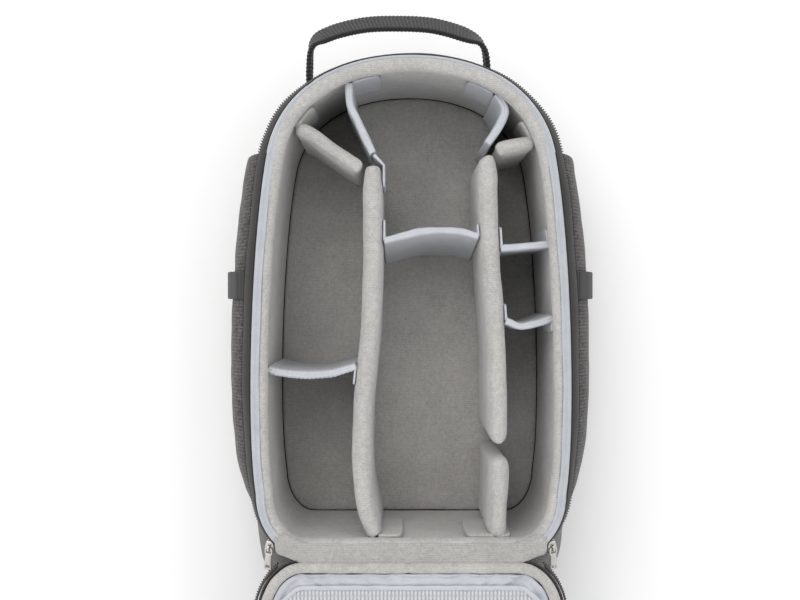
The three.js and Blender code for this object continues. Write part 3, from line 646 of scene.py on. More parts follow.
def weave_height(u, v, pitch):
    """Plain weave: warp over weft in every other cell, from 0 to 1."""
    a = (u * (math.pi / pitch)).sin()
    b = (v * (math.pi / pitch)).sin()
    over = (a * b > 0.0) * 1.0
    warp = abs((u * (math.pi / pitch)).sin()) ** 0.6
    weft = abs((v * (math.pi / pitch)).sin()) ** 0.6
    return over * warp + (1 - over) * weft


def dark_cloth(name, colour, pitch=0.0016, worn=0.5, panel=None):
    """Coarse dark pack cloth: plain weave, paler where it is rubbed; panel is the grey of its foot."""
    f = Finish(name, Roughness=0.85, Sheen_Weight=0.25, Sheen_Roughness=0.5, Specular_IOR_Level=0.3)
    u, v = f.map()
    thread = weave_height(u, v, pitch)
    cloud = f.grain(0.03, 3)
    slub = f.grain(0.0025, 2)
    tone = thread * 0.5 + (slub - 0.5) * 1.5 + cloud * 0.35 + 0.15
    base = f.blend((tone * 1.1 - 0.15).held(), shade(colour, 0.3), shade(colour, 1.75))
    rubbed = ((cloud - 0.52) * 6).held() * worn
    base = f.blend(rubbed * 0.35, base, shade(colour, 2.6))
    if panel:
        _, y, z = f.axes()
        low = (((PACK_Y - 178) * MM - y) / 0.0012).held() * ((z - 0.036) / 0.0012).held()
        grey = f.blend((tone * 1.1 - 0.2).held(), shade(panel, 0.7), shade(panel, 1.25))
        base = f.blend(low, base, grey)
    f.feed(Base_Color=base, Roughness=0.78 + slub * 0.2)
    f.bump(thread * 0.8 + slub * 0.4, 0.0005, 0.9)
    return f.material


def tricot_cloth(name, colour):
    """Brushed grey tricot over foam: soft nap, with fine lengthwise ribs and faint clouds."""
    f = Finish(name, Roughness=0.95, Sheen_Weight=0.35, Sheen_Roughness=0.6, Specular_IOR_Level=0.15)
    x, y, z = f.axes()
    nap = f.grain(0.0016, 3, 0.75)
    tuft = f.grain(0.0042, 3, 0.6)
    cloud = f.grain(0.03, 3)
    course = (y + z * 0.6 + (nap - 0.5) * 0.0012).wave(0.0021)
    tone = ((nap - 0.5) * 1.7 + (tuft - 0.5) * 1.15 + (cloud - 0.5) * 0.7 + course * 0.25 + 0.4).held()
    pills = ((f.grain(0.0032, 2) - 0.66) * 7).held()
    base = f.blend(tone, shade(colour, 0.74), shade(colour, 1.2))
    f.feed(Base_Color=f.blend(pills * 0.5, base, shade(colour, 1.38)), Roughness=0.88 + nap * 0.12)
    f.bump(nap * 0.6 + tuft * 0.5 + course * 0.15, 0.0012, 0.8)
    return f.material


def nylon_cloth(name, colour, wrinkle=0.6, stitches=None):
    """Light coated nylon: fine weave, soft sheen and small creases, with painted shade darker in their
    hollows.
    """
    f = Finish(name, Roughness=0.55, Sheen_Weight=0.2, Specular_IOR_Level=0.4)
    u, v = f.map()
    thread = weave_height(u, v, 0.0007)
    crease_and_shade = f.grain(0.009, 3, 0.6)
    soft = f.grain(0.03, 2)
    speck = f.grain(0.0014, 2, 0.7)
    # The crease noise also paints shade into the colour: darker in the creases' hollows, lighter on their
    # ridges.
    tone = crease_and_shade * 0.55 + soft * 0.35 + thread * 0.14 + (speck - 0.5) * 0.6
    base = f.blend((tone * 1.15 - 0.1).held(), shade(colour, 0.78), shade(colour, 1.15))
    height = crease_and_shade * wrinkle + thread * 0.12 + speck * 0.1
    if stitches is not None:
        dash = ((v / 0.0034).fract() < 0.62) * (abs(u - stitches) < 0.00035)
        base = f.blend(dash * 0.75, base, shade(colour, 0.5))
        height = height - dash * 0.5
    f.feed(Base_Color=base, Roughness=0.42 + crease_and_shade * 0.25)
    f.bump(height, 0.0011, 0.7)
    return f.material


def mesh_cloth(name, colour):
    """Crinkled lining mesh: puffed ribs with a row of small holes between them."""
    f = Finish(name, Roughness=0.7, Sheen_Weight=0.3, Specular_IOR_Level=0.3)
    x, y, _ = f.axes()
    crinkle = f.grain(0.004, 3, 0.6)
    rib = (x + (crinkle - 0.5) * 0.0013).wave(0.0034)
    cross = (y + (crinkle - 0.5) * 0.0016).wave(0.0048)
    puff = rib * 0.6 + cross * 0.4
    hole = ((0.26 - rib) * 9).held() * ((cross - 0.5) * 6).held()
    tone = (puff * 0.9 + crinkle * 0.3 - 0.15).held()
    base = f.blend(tone, shade(colour, 0.62), shade(colour, 1.15))
    f.feed(Base_Color=f.blend(hole * 0.55, base, shade(colour, 0.35)))
    f.bump(puff * 0.8 + crinkle * 0.3, 0.0011, 0.8)
    return f.material


def webbing_cloth(name, colour, pitch=0.0022, slope=0.0, stitches=()):
    """Ribbed webbing: cords across its width, with lengthwise warp threads."""
    f = Finish(name, Roughness=0.75, Sheen_Weight=0.2, Specular_IOR_Level=0.35)
    u, v = f.map()
    rib = (v + u * slope).wave(pitch)
    warp = u.wave(0.0011)
    fuzz = f.grain(0.0012, 3)
    tone = rib * 0.6 + warp * 0.2 + fuzz * 0.35
    base = f.blend((tone * 1.2 - 0.25).held(), shade(colour, 0.35), shade(colour, 1.7))
    height = rib * 0.8 + warp * 0.25 + fuzz * 0.2
    for line in stitches:
        dash = ((v / 0.004).fract() < 0.6) * (abs(u - line) < 0.0004)
        base = f.blend(dash * 0.6, base, shade(colour, 2.6))
        height = height + dash * 0.4
    f.feed(Base_Color=base, Roughness=0.65 + fuzz * 0.25)
    f.bump(height, 0.0006, 0.8)
    return f.material


def tape_cloth(name, colour):
    """Zip tape: herringbone twill in fine rows along the zip."""
    f = Finish(name, Roughness=0.8, Sheen_Weight=0.15, Specular_IOR_Level=0.3)
    u, v = f.map()
    lane = (u / 0.0036).fract()
    slant = (v + abs(lane - 0.5) * 0.0024).wave(0.0021)
    fuzz = f.grain(0.0016, 3)
    tone = slant * 0.6 + (abs(lane - 0.5) < 0.4) * 0.15 + fuzz * 0.35
    f.feed(Base_Color=f.blend((tone - 0.1).held(), shade(colour, 0.55), shade(colour, 1.7)))
    f.bump(slant * 0.7 + fuzz * 0.3, 0.0004, 0.8)
    return f.material


def pocket_cloth(name, colour):
    """Stretch mesh of the side pockets: small dark openings in a matt knit."""
    f = Finish(name, Roughness=0.9, Sheen_Weight=0.2, Specular_IOR_Level=0.2)
    u, v = f.map()
    knit = u.wave(0.0026) * v.wave(0.0026)
    hole = ((knit - 0.45) * 4).held()
    cloud = f.grain(0.02, 3)
    fleck = f.grain(0.0032, 3, 0.7)
    rib = v.wave(0.0034)
    tone = ((cloud - 0.5) * 0.8 + (fleck - 0.5) * 3.2 + (rib - 0.5) * 0.5 + 0.45).held()
    base = f.blend(tone, shade(colour, 0.35), shade(colour, 3.2))
    f.feed(Base_Color=f.blend(hole * 0.8, base, shade(colour, 0.25)))
    f.bump(1 - hole, 0.0005, 0.8)
    return f.material


def air_mesh(name, colour):
    """Spacer mesh of the harness: rows of round openings over foam."""
    f = Finish(name, Roughness=0.9, Sheen_Weight=0.25, Specular_IOR_Level=0.2)
    cell = f.node(
        "ShaderNodeTexVoronoi", {"feature": "F1"}, Vector=f.place(), Scale=1 / 0.0032, Randomness=0.15
    )
    hole = ((0.42 - cell) * 6).held()
    fuzz = f.grain(0.0015, 3)
    base = f.blend(fuzz, shade(colour, 0.8), shade(colour, 1.6))
    f.feed(Base_Color=f.blend(hole * 0.8, base, shade(colour, 0.2)))
    f.bump(1 - hole, 0.0009, 0.8)
    return f.material


def moulded_plastic(name, colour):
    f = Finish(name, Roughness=0.45, Specular_IOR_Level=0.45)
    speck = f.grain(0.0006, 2)
    cloud = f.grain(0.012, 2)
    f.feed(
        Base_Color=f.blend(cloud, shade(colour, 0.85), shade(colour, 1.3)),
        Roughness=0.38 + speck * 0.2,
    )
    f.bump(speck, 0.00008, 0.5)
    return f.material


def slider_metal(name, colour):
    """Nickel-plated casting: bright, with a faint brushed and handled look."""
    f = Finish(name, Metallic=1.0, Roughness=0.28)
    smear = f.grain(0.003, 3)
    scratch = f.grain(0.0004, 2)
    f.feed(
        Base_Color=f.blend(smear, shade(colour, 0.8), shade(colour, 1.2)),
        Roughness=0.2 + smear * 0.2 + scratch * 0.08,
    )
    f.bump(scratch, 0.00004, 0.4)
    return f.material


# Shell


SHELL_TABLE = (
    # depth, swell, foot
    (0.0, 0.0, 0.0),
    (0.13, 0.12, 0.1),
    (0.32, 0.68, 0.4),
    (0.6, 1.0, 0.84),
    (0.9, 0.75, 1.0),
    (1.0, 0.35, 0.94),
)


def shell_ring(depth, lift=0.0):
    swell, foot = in_table(SHELL_TABLE, depth)
    return outline(swell * SHELL_SWELL + lift, foot * FOOT_SPREAD)


def shell_half(y, z):
    """Half the shell's width at a place along it and a height."""
    ring = shell_ring(clamp((SHELL_TOP_Z - z) / (SHELL_TOP_Z - BACK_Z)))[: TOP_INDEX + 1]
    for a, b in zip(ring[8:], ring[9:]):
        if b.y >= y:
            return mix(a.x, b.x, (y - a.y) / (b.y - a.y))
    return ring[-1].x


def make_shell(cloth):
    skin = Skin()
    depths = 22
    for k in range(depths + 1):
        depth = k / depths
        z = mix(SHELL_TOP_Z, BACK_Z + 0.8, depth)
        skin.ring([at(p.x, p.y, z) for p in shell_ring(depth, -0.8 * (0.08 < depth < 0.14))])
    seam = shell_ring(1.0)
    for t in (0.03, 0.1, 0.25, 0.45, 0.7, 0.9, 1.0):
        skin.ring([at(p.x, p.y, BACK_Z) for p in shrunk(seam, t, -230, 110)])
    skin.weld()

    def creased(p, u, v):
        side = clamp((p.z / MM - BACK_Z) / 20) * clamp((SHELL_TOP_Z + 2 - p.z / MM) / 25)
        sag = wave(Vector((p.x, p.y, p.z * 2.5)), 55, 3) * 1.1 + wave(p, 18, 8) * 0.45
        return side * max(sag + 0.4, -0.2)

    skin.push(creased)
    piece = walled(skin.finish("shell_cloth", levels=0), CLOTH)
    dress(piece, cloth, node="shell")


def make_piping(cloth):
    swell, foot = in_table(SHELL_TABLE, 1.0)
    ring = outline(swell * SHELL_SWELL + 0.3, foot * FOOT_SPREAD)
    wide = outline(0.75 * SHELL_SWELL + 2.6, FOOT_SPREAD)
    path = []
    for p, q in zip(ring, wide):
        out = ease((-p.y - 150) / 30)
        q = p.lerp(q, out)
        path.append(at(q.x, q.y, BACK_Z - 2.5 + 3 * out))
    skin = sweep(path, lambda t: UP, rounded(4.2, 4.2, 2.1, side=1, turn=2), closed=True)
    dress(skin.finish("back_seam_piping"), cloth, node="back_piping")


# Padding, binding and zip round the rim


def carried(section, first=0, last=None, place=at, joined=False, fine=1):
    """A skin whose rings are a section of (offset, height) points carried round the outline."""
    skin = Skin()
    last = RING if last is None else last
    for k in range(fine * first, fine * (last - 1) + (fine if joined else 1)):
        p, n = edge_at(k / fine)
        ring = []
        for offset, z in section(k / fine):
            q = p + n * offset
            ring.append(place(q.x, q.y, z))
        skin.ring(ring)
    if joined:
        skin.close_path()
    else:
        skin.cap(skin.first)
        skin.cap(skin.last)
    return skin


def zip_run(half=0.8 * HALF_WIDTH):
    start = next(i for i in range(RING) if EDGE[i][0].x >= half)
    return start, RING - start + 1


# The wall padding's section, as (offset from the rim's outline, height): its crown bulges over the rim's
# binding round the head and lies inside it along the sides
WALL_OUTSIDE = (
    (-2.9, 29.8), (-2.9, 60), (-2.9, 95), (-2.9, 130), (-2.9, 160), (-2.9, 169.6), (-5.5, 170.0), (-5.5, 174),
)
CROWN_SIDE = ((-5.6, 178.5), (-6.6, 181.4), (-7.4, 182.4), (-8.6, 183.0), (-11.2, 183.2))
CROWN_TOP = ((-5.6, 178.5), (-4.2, 182.6), (-3.9, 184.0), (-5.2, 184.9), (-10.6, 184.3))
WALL_INSIDE = (
    (-13.6, 182.1), (-15.2, 179.6), (-15.6, 176.4), (-15.0, 173.4), (-13.6, 171.2), (-13.0, 169.4),
    (-13.3, 163), (-14.0, 148), (-14.3, 125), (-14.2, 100), (-14.0, 75), (-13.7, 52), (-13.4, 38),
    (-13.2, 29.8),
)


def beside(i):
    """0 round the head of the rim, 1 along its sides and foot."""
    start, end = zip_run()
    return ease(abs((i - start) % RING + start - TOP_INDEX) / (end - TOP_INDEX) * 3 - 0.5)


def make_wall_padding(tricot):
    def section(i):
        side = beside(i)
        crown = [(mix(a, c, side), mix(b, d, side)) for (a, b), (c, d) in zip(CROWN_TOP, CROWN_SIDE)]
        return (*WALL_OUTSIDE, *crown, *WALL_INSIDE)

    skin = carried(section, joined=True)

    def soft(p, u, v):
        z = p.z / MM
        near = clamp((z - 40) / 30)
        puff = wave(p, 34, 1) * 0.8 + wave(Vector((p.x, p.y, p.z * 0.3)), 11, 4) * 0.35
        return near * min(puff, 0.5)

    skin.push(soft)
    dress(skin.finish("wall_pad"), tricot, node="wall_padding")


def disc(edge, levels, place, low=-150, high=120):
    """A flat closed pad from (share drawn in, height) levels of one plan ring, over and under."""
    skin = Skin()
    for t, z in levels:
        skin.ring([place(p.x, p.y, z) for p in shrunk(edge, t, low, high)])
    skin.weld()
    return skin


def make_floor_padding(tricot):
    shares = (0.02, 0.08, 0.18, 0.32, 0.5, 0.7, 0.88, 1.0)
    under = [(t, 29.8) for t in reversed(shares)]
    over = [(t, FLOOR_TOP_Z - 1.4 * (t < 0.03)) for t in shares]
    skin = disc(outline(-13.5), under + [(0, 31), (0, 35)] + over, at)
    skin.push(lambda p, u, v: (wave(p, 40, 2) * 0.5 - 0.3) * (p.z > 0.034))
    dress(skin.finish("floor_pad"), tricot, node="floor_padding")


def make_rim_binding(nylon):
    start, end = zip_run()

    def section(i):
        """The binding rolls over the rim and its inner hem lies on the padding, wider at the sides."""
        k = 3 * (i - start)
        side = beside(i)
        corner = 1 + 1.6 * ease(abs(i - TOP_INDEX) / (end - TOP_INDEX) * 8 - 7)
        pucker = (0.3 * math.sin(k * 0.9) + 0.3 * math.sin(k * 0.37 + 2) + 0.25 * math.sin(k * 1.7)) * corner
        hem = mix(-5.9, -8.4, side) + 0.25 * math.sin(k * 0.21)
        return (
            (0.0, 170.8), (0.2 + pucker * 0.3, 175), (0.1, 179), (-0.6, 181.2 + pucker * 0.3),
            (-1.9, 182.6 + pucker * 0.5), (mix(-2.6, -3.3, side), 182.9 + pucker * 0.6),
            (mix(-3.2, -4.2, side), 181.9 + pucker * 0.3), (mix(-3.9, -5.0, side), 182.8 + pucker * 0.5),
            (mix(-4.6, -6.6, side), 183.7 + pucker * 0.5),
            (hem + 0.5, mix(183.3, 184.0, side) + pucker * 0.25), (hem, mix(183.0, 183.7, side)),
            (hem + 0.3, 183.1), (-5.4, 182.0), (-5.1, 180.4), (-5.1, 175), (-5.1, 170.8), (-2.5, 170.6),
        )

    skin = carried(section, start, end, fine=3)
    dress(skin.finish("rim_binding_tape"), nylon, node="rim_binding")


def tape_line(i):
    """Root and tip of the body's zip tape at a place round the rim, as (offset, height)."""
    start, end = zip_run()
    from_top = abs(i - TOP_INDEX) / (end - 1 - TOP_INDEX)
    flare = mix(2.4, 9, math.sin(math.pi * clamp(from_top * 1.15 - 0.15)) ** 0.8)
    fall = math.sqrt(15**2 - flare**2)
    ripple = 0.35 * math.sin(i * 0.55) + 0.25 * math.sin(i * 0.21 + 1)
    return (0.4, 179.0), (0.4 + flare + ripple, 179.0 - fall + ripple * 0.5)


def tape_section(root, tip, thick=1.1):
    """A thin strip from root to tip that bows out a little, as closed (offset, height) points."""
    (ox, oz), (tx, tz) = root, tip
    length = math.hypot(tx - ox, tz - oz)
    nx, nz = -(tz - oz) / length, (tx - ox) / length
    over, under = [], []
    for k in range(7):
        t = k / 6
        bow = 0.9 * math.sin(math.pi * t)
        x, z = mix(ox, tx, t) + nx * bow, mix(oz, tz, t) + nz * bow
        over.append((x + nx * thick / 2, z + nz * thick / 2))
        under.append((x - nx * thick / 2, z - nz * thick / 2))
    return over + under[::-1]


def teeth(name, spots, material, node, size=(1.5, 2.5, 2.2), turn=0.3):
    """A coil of small rounded teeth; spots are (point, along, out) triples."""
    bm = bmesh.new()
    for k, (p, along, out) in enumerate(spots):
        up = along.cross(out).normalized()
        out = up.cross(along).normalized()
        basis = Matrix((along, out, up)).transposed().to_4x4()
        tilt = Matrix.Rotation(turn if k % 2 else turn * 0.6, 4, "Z")
        scale = Matrix.Diagonal((*[s * MM / 2 for s in size], 1))
        bmesh.ops.create_icosphere(
            bm, subdivisions=1, radius=1.0, matrix=Matrix.Translation(p) @ basis @ tilt @ scale
        )
    dress(finished(name, bm), material, node=node)


def spaced(path, pitch):
    """Points a pitch apart along a line of points, each with the line's direction there."""
    out, left = [], 0.0
    for a, b in zip(path, path[1:]):
        length = (b - a).length
        along = (b - a) / length
        while left < length:
            out.append((a + along * left, along))
            left += pitch * MM
        left -= length
    return out


def make_zip(tape, coil):
    start, end = zip_run()
    skin = carried(lambda i: tape_section(*tape_line(i)), start, end, fine=2)
    dress(skin.finish("rim_zip_tape", 1), tape, node="body_zip_tape")
    line = []
    for k in range(2 * start, 2 * end - 1):
        i = k / 2
        p, n = edge_at(i)
        _, tip = tape_line(i)
        q = p + n * (tip[0] + 0.7)
        line.append(at(q.x, q.y, tip[1] + 0.1))
    spots = [(p, along, along.cross(UP)) for p, along in spaced(line, 2.5)]
    teeth("rim_zip_coil", spots, coil, "body_zip_teeth")


# Lid


def lid_spine():
    steps, step = 200, LID_LENGTH / 200
    hinge_y, hinge_z = -FOOT_REACH - 3, RIM_Z + 2.7

    def run(steepest):
        y, z, slope = hinge_y, hinge_z, 0.0
        stops = [(y, z, slope)]
        for i in range(1, steps + 1):
            now = steepest * math.sin(math.pi * i / steps)
            middle = (slope + now) / 2
            y, z, slope = y - math.cos(middle) * step, z - math.sin(middle) * step, now
            stops.append((y, z, slope))
        return stops

    low, high = 0.0, math.pi / 3
    for _ in range(40):
        middle = (low + high) / 2
        if run(middle)[-1][1] > 28:
            low = middle
        else:
            high = middle
    return run(low)


SPINE = lid_spine()


def lid_point(x, y, rise):
    """A point of the lid from its plan place, as the rim's is counted, and its height over the lid's edge."""
    along = y + FOOT_REACH
    held = clamp(along / LID_LENGTH)
    i = min(int(held * 200), 199)
    (ay, az, aslope), (by, bz, bslope) = SPINE[i], SPINE[i + 1]
    t = held * 200 - i
    slope = mix(aslope, bslope, t)
    beyond = along - clamp(along, 0, LID_LENGTH)
    py = mix(ay, by, t) - math.sin(slope) * rise - math.cos(slope) * beyond
    return at(x, py, mix(az, bz, t) + math.cos(slope) * rise - math.sin(slope) * beyond)


def lid_depth(y):
    return mix(10, 28, ease((y + FOOT_REACH) / 70))


def make_lid_shell(cloth):
    skin = Skin()
    for offset, share in ((-0.4, 0.0), (0, 0.12), (0.3, 0.4), (0, 0.7), (-1.6, 0.9), (-5, 1.0)):
        skin.ring([lid_point(p.x, p.y, -share * lid_depth(p.y)) for p in outline(offset)])
    edge = outline(-5)
    for t in (0.06, 0.2, 0.4, 0.6, 0.8, 1.0):
        skin.ring([lid_point(p.x, p.y, -lid_depth(p.y)) for p in shrunk(edge, t, -140, 110)])
    skin.weld()
    skin.push(lambda p, u, v: max(wave(p, 45, 5) * 0.7, -0.4) if p.z > 0.012 else 0.0)
    piece = walled(skin.finish("lid_cloth", levels=0), CLOTH)
    dress(piece, cloth, node="lid_shell")


def make_lid_roll(tricot):
    def section(i):
        """A soft tube, gathered by the seams on both sides, with one sewn join at the hinge."""
        p, n = edge_at(i)
        pucker = 0.35 * math.sin(i * 5.3) + 0.3 * math.sin(i * 2.1 + 1) + 0.3 * math.sin(i * 0.8 + 1)
        join = 1 - 0.2 * math.exp(-((p.x + 2.5) ** 2) / 3) * (p.y < -200)
        out = []
        for k in range(14):
            a = 2 * math.pi * k / 14
            across, rise = 4.9 * math.cos(a) * join, (4.4 + pucker * 0.5) * math.sin(a) * join
            out.append((-7.6 + across, -0.2 + rise + pucker * 0.3))
        return out

    skin = carried(section, place=lid_point, joined=True, fine=3)
    skin.push(lambda p, u, v: wave(p, 16, 6) * 0.35 + wave(p, 5, 2) * 0.2)
    dress(skin.finish("lid_border_roll"), tricot, node="lid_roll")


def creased_disc(edge, top, thick, radial, low, high, fold=0.0):
    """A thin cloth panel in the lid, gathered at its rim into small folds and pressed in along one line."""
    shares = (0, 0.015, 0.03, 0.045, 0.06, 0.08, 0.1, 0.13, 0.18, 0.26, 0.4, 0.56, 0.72, 0.88, 1.0)
    edge = dense(edge, 2 * RING, closed=True)
    run = arc_lengths(edge)
    skin = Skin()
    under = [(t, top - thick) for t in reversed(shares[::2])]
    for t, rise in under + [(t, top) for t in shares]:
        points = []
        for p, s in zip(shrunk(edge, t, low, high), run):
            lift = 0.0
            if rise == top:
                gather = math.sin(s / 2.6 + 2.4 * math.sin(s / 13)) * 0.35
                gather += abs(math.sin(s / 9.5 + 1)) * 0.8 - 0.4
                corner = 1 + 1.8 * math.exp(-(((abs(p.x) - 105) / 26) ** 2)) * (p.y < -150)
                lift = radial * corner * math.exp(-t * 11) * gather
                lift -= fold * math.exp(-(((t - 0.062) / 0.016) ** 2))
                lift = max(lift, -1.2)
            points.append(lid_point(p.x, p.y, rise + lift))
        skin.ring(points)
    skin.weld()
    return skin


def make_lid_lining(nylon):
    skin = creased_disc(outline(-12.9), 0.1, 1.6, 3.6, -150, 120, fold=2.6)
    skin.push(lambda p, u, v: wave(Vector((p.x * 0.35, p.y * 1.8, p.z)), 12, 9) * 0.9)
    piece = dress(skin.finish("lid_lining_cloth"), nylon, node="lid_lining")
    cut(piece)


def pocket_edge(extra=0.0):
    """Plan edge of the lid's pocket: further in at the hinge than at the sides."""
    return [p + n * (-19.8 - extra - 6.5 * ease(-n.y * 1.4)) for p, n in EDGE]


def make_lid_pocket(mesh, nylon):
    skin = creased_disc(pocket_edge(), 1.9, 1.1, 0.8, -140, 110)
    skin.push(lambda p, u, v: wave(p, 24, 7) * 0.7 + wave(p, 7, 3) * 0.25)
    cloth = dress(skin.finish("lid_pocket_mesh"), mesh, node="lid_mesh_pocket")
    ring = pocket_edge(-1.5)
    path = [
        lid_point(p.x, p.y, 2.2 + 0.4 * math.sin(k * 0.9))
        for k, p in enumerate(dense(ring, 2 * RING, True))
    ]
    hem = sweep(path, lambda t: UP, rounded(1.7, 4.2, 0.8, side=2, turn=2), closed=True)
    hem.push(lambda p, u, v: wave(p, 7, 3) * 0.5)
    edge = dress(hem.finish("lid_pocket_hem"), nylon)
    cut(cloth)


def make_lid_zip(tape, coil):
    start, end = zip_run()

    def tip(i):
        """The tape hangs beside the hinge and stands out further along the lid."""
        ripple = 0.35 * math.sin(i * 0.5)
        hung = ease((-edge_at(i)[0].y - 70) / 90)
        return mix(9.3, 1.6, hung) + ripple, mix(0.1, -11.6, hung) + ripple

    def section(i):
        return tape_section((0.7, -2.0), tip(i))

    skin = carried(section, start, end, place=lid_point, fine=2)
    dress(skin.finish("lid_zip_tape_cloth"), tape, node="lid_zip_tape")
    line = []
    for k in range(2 * start, 2 * end - 1):
        i = k / 2
        p, n = edge_at(i)
        out, rise = tip(i)
        q = p + n * (out + 0.7)
        line.append(lid_point(q.x, q.y, rise))
    spots = [(p, along, along.cross(UP)) for p, along in spaced(line, 2.5)]
    teeth("lid_zip_coil", spots, coil, "lid_zip_teeth")


def make_hinge(tricot):
    """The wide soft strip that joins the foot of the padded wall to the lid's border."""
    skin = Skin()
    rows = 40
    for k in range(rows + 1):
        x = mix(-123, 123, k / rows)
        end = ease((abs(x) - 92) / 31)
        sag = 0.35 * math.sin(k * 0.9) + 0.25 * math.sin(k * 2.1 + 1)
        inner, outer = -217.5 + 11 * end, -238.6 + 9.5 * end
        crown = 184.6 - 1.2 * end + sag * 0.3
        ring = []
        for t, z in ((0, -2.2), (0.06, 0.1), (0.25, 0.4), (0.5, 0.1), (0.75, -0.2), (1, -1.4)):
            ring.append(at(x, mix(inner, outer, t) + sag * 0.5, crown + z))
        for t, z in ((0.96, -2.8), (0.75, -2.0), (0.5, -1.7), (0.25, -1.4), (0.06, -1.9), (0.02, -3.2)):
            ring.append(at(x, mix(inner, outer, t) + sag * 0.5, crown + z))
        skin.ring(ring)
    skin.cap(skin.first)
    skin.cap(skin.last)
    skin.push(lambda p, u, v: wave(p, 12, 4) * 0.35)
    dress(skin.finish("hinge_strip"), tricot, node="hinge_tape")


# Dividers: routes as shares of the half width across and of the reach up or down


ROUTES = {
    "main_divider_left": (
        (-0.24, 0.56), (-0.237, 0.18), (-0.255, -0.13), (-0.3, -0.45), (-0.3, -0.72), (-0.25, -0.88),
        (-0.165, -1),
    ),
    "main_divider_right": (
        (0.475, 0.6), (0.482, 0.4), (0.497, 0.2), (0.515, 0), (0.535, -0.19), (0.54, -0.385),
        (0.546, -0.575),
    ),
    "main_divider_right_foot": ((0.547, -0.592), (0.55, -0.7), (0.54, -0.85), (0.528, -1)),
    "corner_divider_left": (
        (-0.9, 0.74), (-0.74, 0.712), (-0.64, 0.688), (-0.52, 0.632), (-0.37, 0.565), (-0.24, 0.515),
    ),
    "corner_divider_right": (
        (0.45, 0.6), (0.573, 0.625), (0.664, 0.637), (0.756, 0.645), (0.92, 0.63),
    ),
    "camera_flap_left": (
        (-0.385, 1), (-0.382, 0.82), (-0.334, 0.741), (-0.27, 0.65), (-0.21, 0.568),
    ),
    "camera_flap_right": (
        (0.33, 0.95), (0.45, 0.895), (0.54, 0.842), (0.585, 0.79), (0.572, 0.745), (0.52, 0.685),
        (0.455, 0.625),
    ),
    "shelf_divider": (
        (-0.24, 0.235), (-0.1, 0.256), (0.02, 0.276), (0.14, 0.286), (0.29, 0.284), (0.38, 0.27),
        (0.5, 0.25),
    ),
    "cradle_divider": (
        (-0.95, -0.245), (-0.89, -0.272), (-0.81, -0.287), (-0.66, -0.296), (-0.51, -0.291),
        (-0.42, -0.278), (-0.28, -0.25),
    ),
    "small_divider_upper": ((0.5, 0.209), (0.65, 0.216), (0.77, 0.224), (0.97, 0.234)),
    "small_divider_lower": (
        (0.5, -0.07), (0.6, -0.085), (0.676, -0.104), (0.767, -0.096), (0.859, -0.078), (1, -0.045),
    ),
}

# Thickness and top of each divider, what its ends stop against, and its tabs as
# (end, host, length along the host, negative for the other way round it)
FIRM = {
    "main_divider_left": (17.5, 175.6, (), (("end", "wall", 24),)),
    "main_divider_right": (17.5, 175.6, (), ()),
    "main_divider_right_foot": (
        17.5, 175.6, ("main_divider_right",), (("end", "wall", -26), ("end", "wall", 12)),
    ),
    "corner_divider_left": (13.5, 174.6, ("main_divider_left",), (("start", "wall", -24),)),
    "corner_divider_right": (13.5, 174.6, ("main_divider_right",), (("end", "wall", 22),)),
}
FOOT_TABS = {
    "main_divider_left": ("tab_main_left",),
    "main_divider_right_foot": ("tab_main_right",),
}
SOFT = {
    "camera_flap_left": (
        6.8, 172.6, ("main_divider_left", "corner_divider_left"),
        (("start", "wall", -26), ("end", "main_divider_left", 34)),
    ),
    "camera_flap_right": (
        6.8, 172.6, ("main_divider_right", "corner_divider_right"),
        (("start", "wall", 27),),
    ),
    "shelf_divider": (
        6.8, 172.6, ("main_divider_left", "main_divider_right"),
        (("start", "main_divider_left", -20), ("end", "main_divider_right", -12)),
    ),
    "cradle_divider": (6.6, 172.6, ("main_divider_left",), (("end", "main_divider_left", 18),)),
    "small_divider_upper": (
        6.4, 172.6, ("main_divider_right",),
        (("start", "main_divider_right", -20), ("end", "wall", 12)),
    ),
    "small_divider_lower": (
        6.4, 172.6, ("main_divider_right",),
        (("start", "main_divider_right", -16), ("end", "wall", -12)),
    ),
}


def route(name):
    """A divider's centre line in plan, 400 points from one end of its route to the other."""
    points = [
        Vector((a * HALF_WIDTH, b * (TOP_REACH if b > 0 else FOOT_REACH), 0)) for a, b in ROUTES[name]
    ]
    return [p.to_2d() for p in dense(points, 400)]


def gap_to(point, line):
    return min((p - point).length for p in line)


def cut_route(name, against, wall):
    """The stretch of a route between the walls and the dividers that it stops against."""
    hosts = [(route(other), (FIRM.get(other) or SOFT.get(other))[0] / 2 + 0.4) for other in against]
    kept = []
    for p in route(name):
        if inside(p, wall) and all(gap_to(p, line) > clear for line, clear in hosts):
            kept.append(p)
    return kept


def tab_path(spot, host, length, off):
    """Plan points of a tab that leaves a divider's end and lies along its host's face."""
    if host == "wall":
        line = outline(LINER_IN - off)
        closed = True
    else:
        line, closed = route(host), False
        half = (FIRM.get(host) or SOFT.get(host))[0] / 2 + off
        near = min(range(len(line)), key=lambda k: (line[k] - spot).length)
        near = min(max(near, 1), len(line) - 2)
        along = (line[near + 1] - line[near - 1]).normalized()
        side = 1 if (spot - line[near]).dot(Vector((along.y, -along.x))) > 0 else -1
        moved = []
        for k, p in enumerate(line):
            d = (line[min(k + 1, len(line) - 1)] - line[max(k - 1, 0)]).normalized()
            moved.append(p + Vector((d.y, -d.x)) * half * side)
        line = moved
    near = min(range(len(line)), key=lambda k: (line[k] - spot).length)
    step = 1 if length > 0 else -1
    points, run, k = [spot.copy()], 0.0, near
    while run < abs(length):
        k += step
        if not closed and not 0 <= k < len(line):
            break
        q = line[k % len(line)]
        run += (q - points[-1]).length
        points.append(q)
    return points


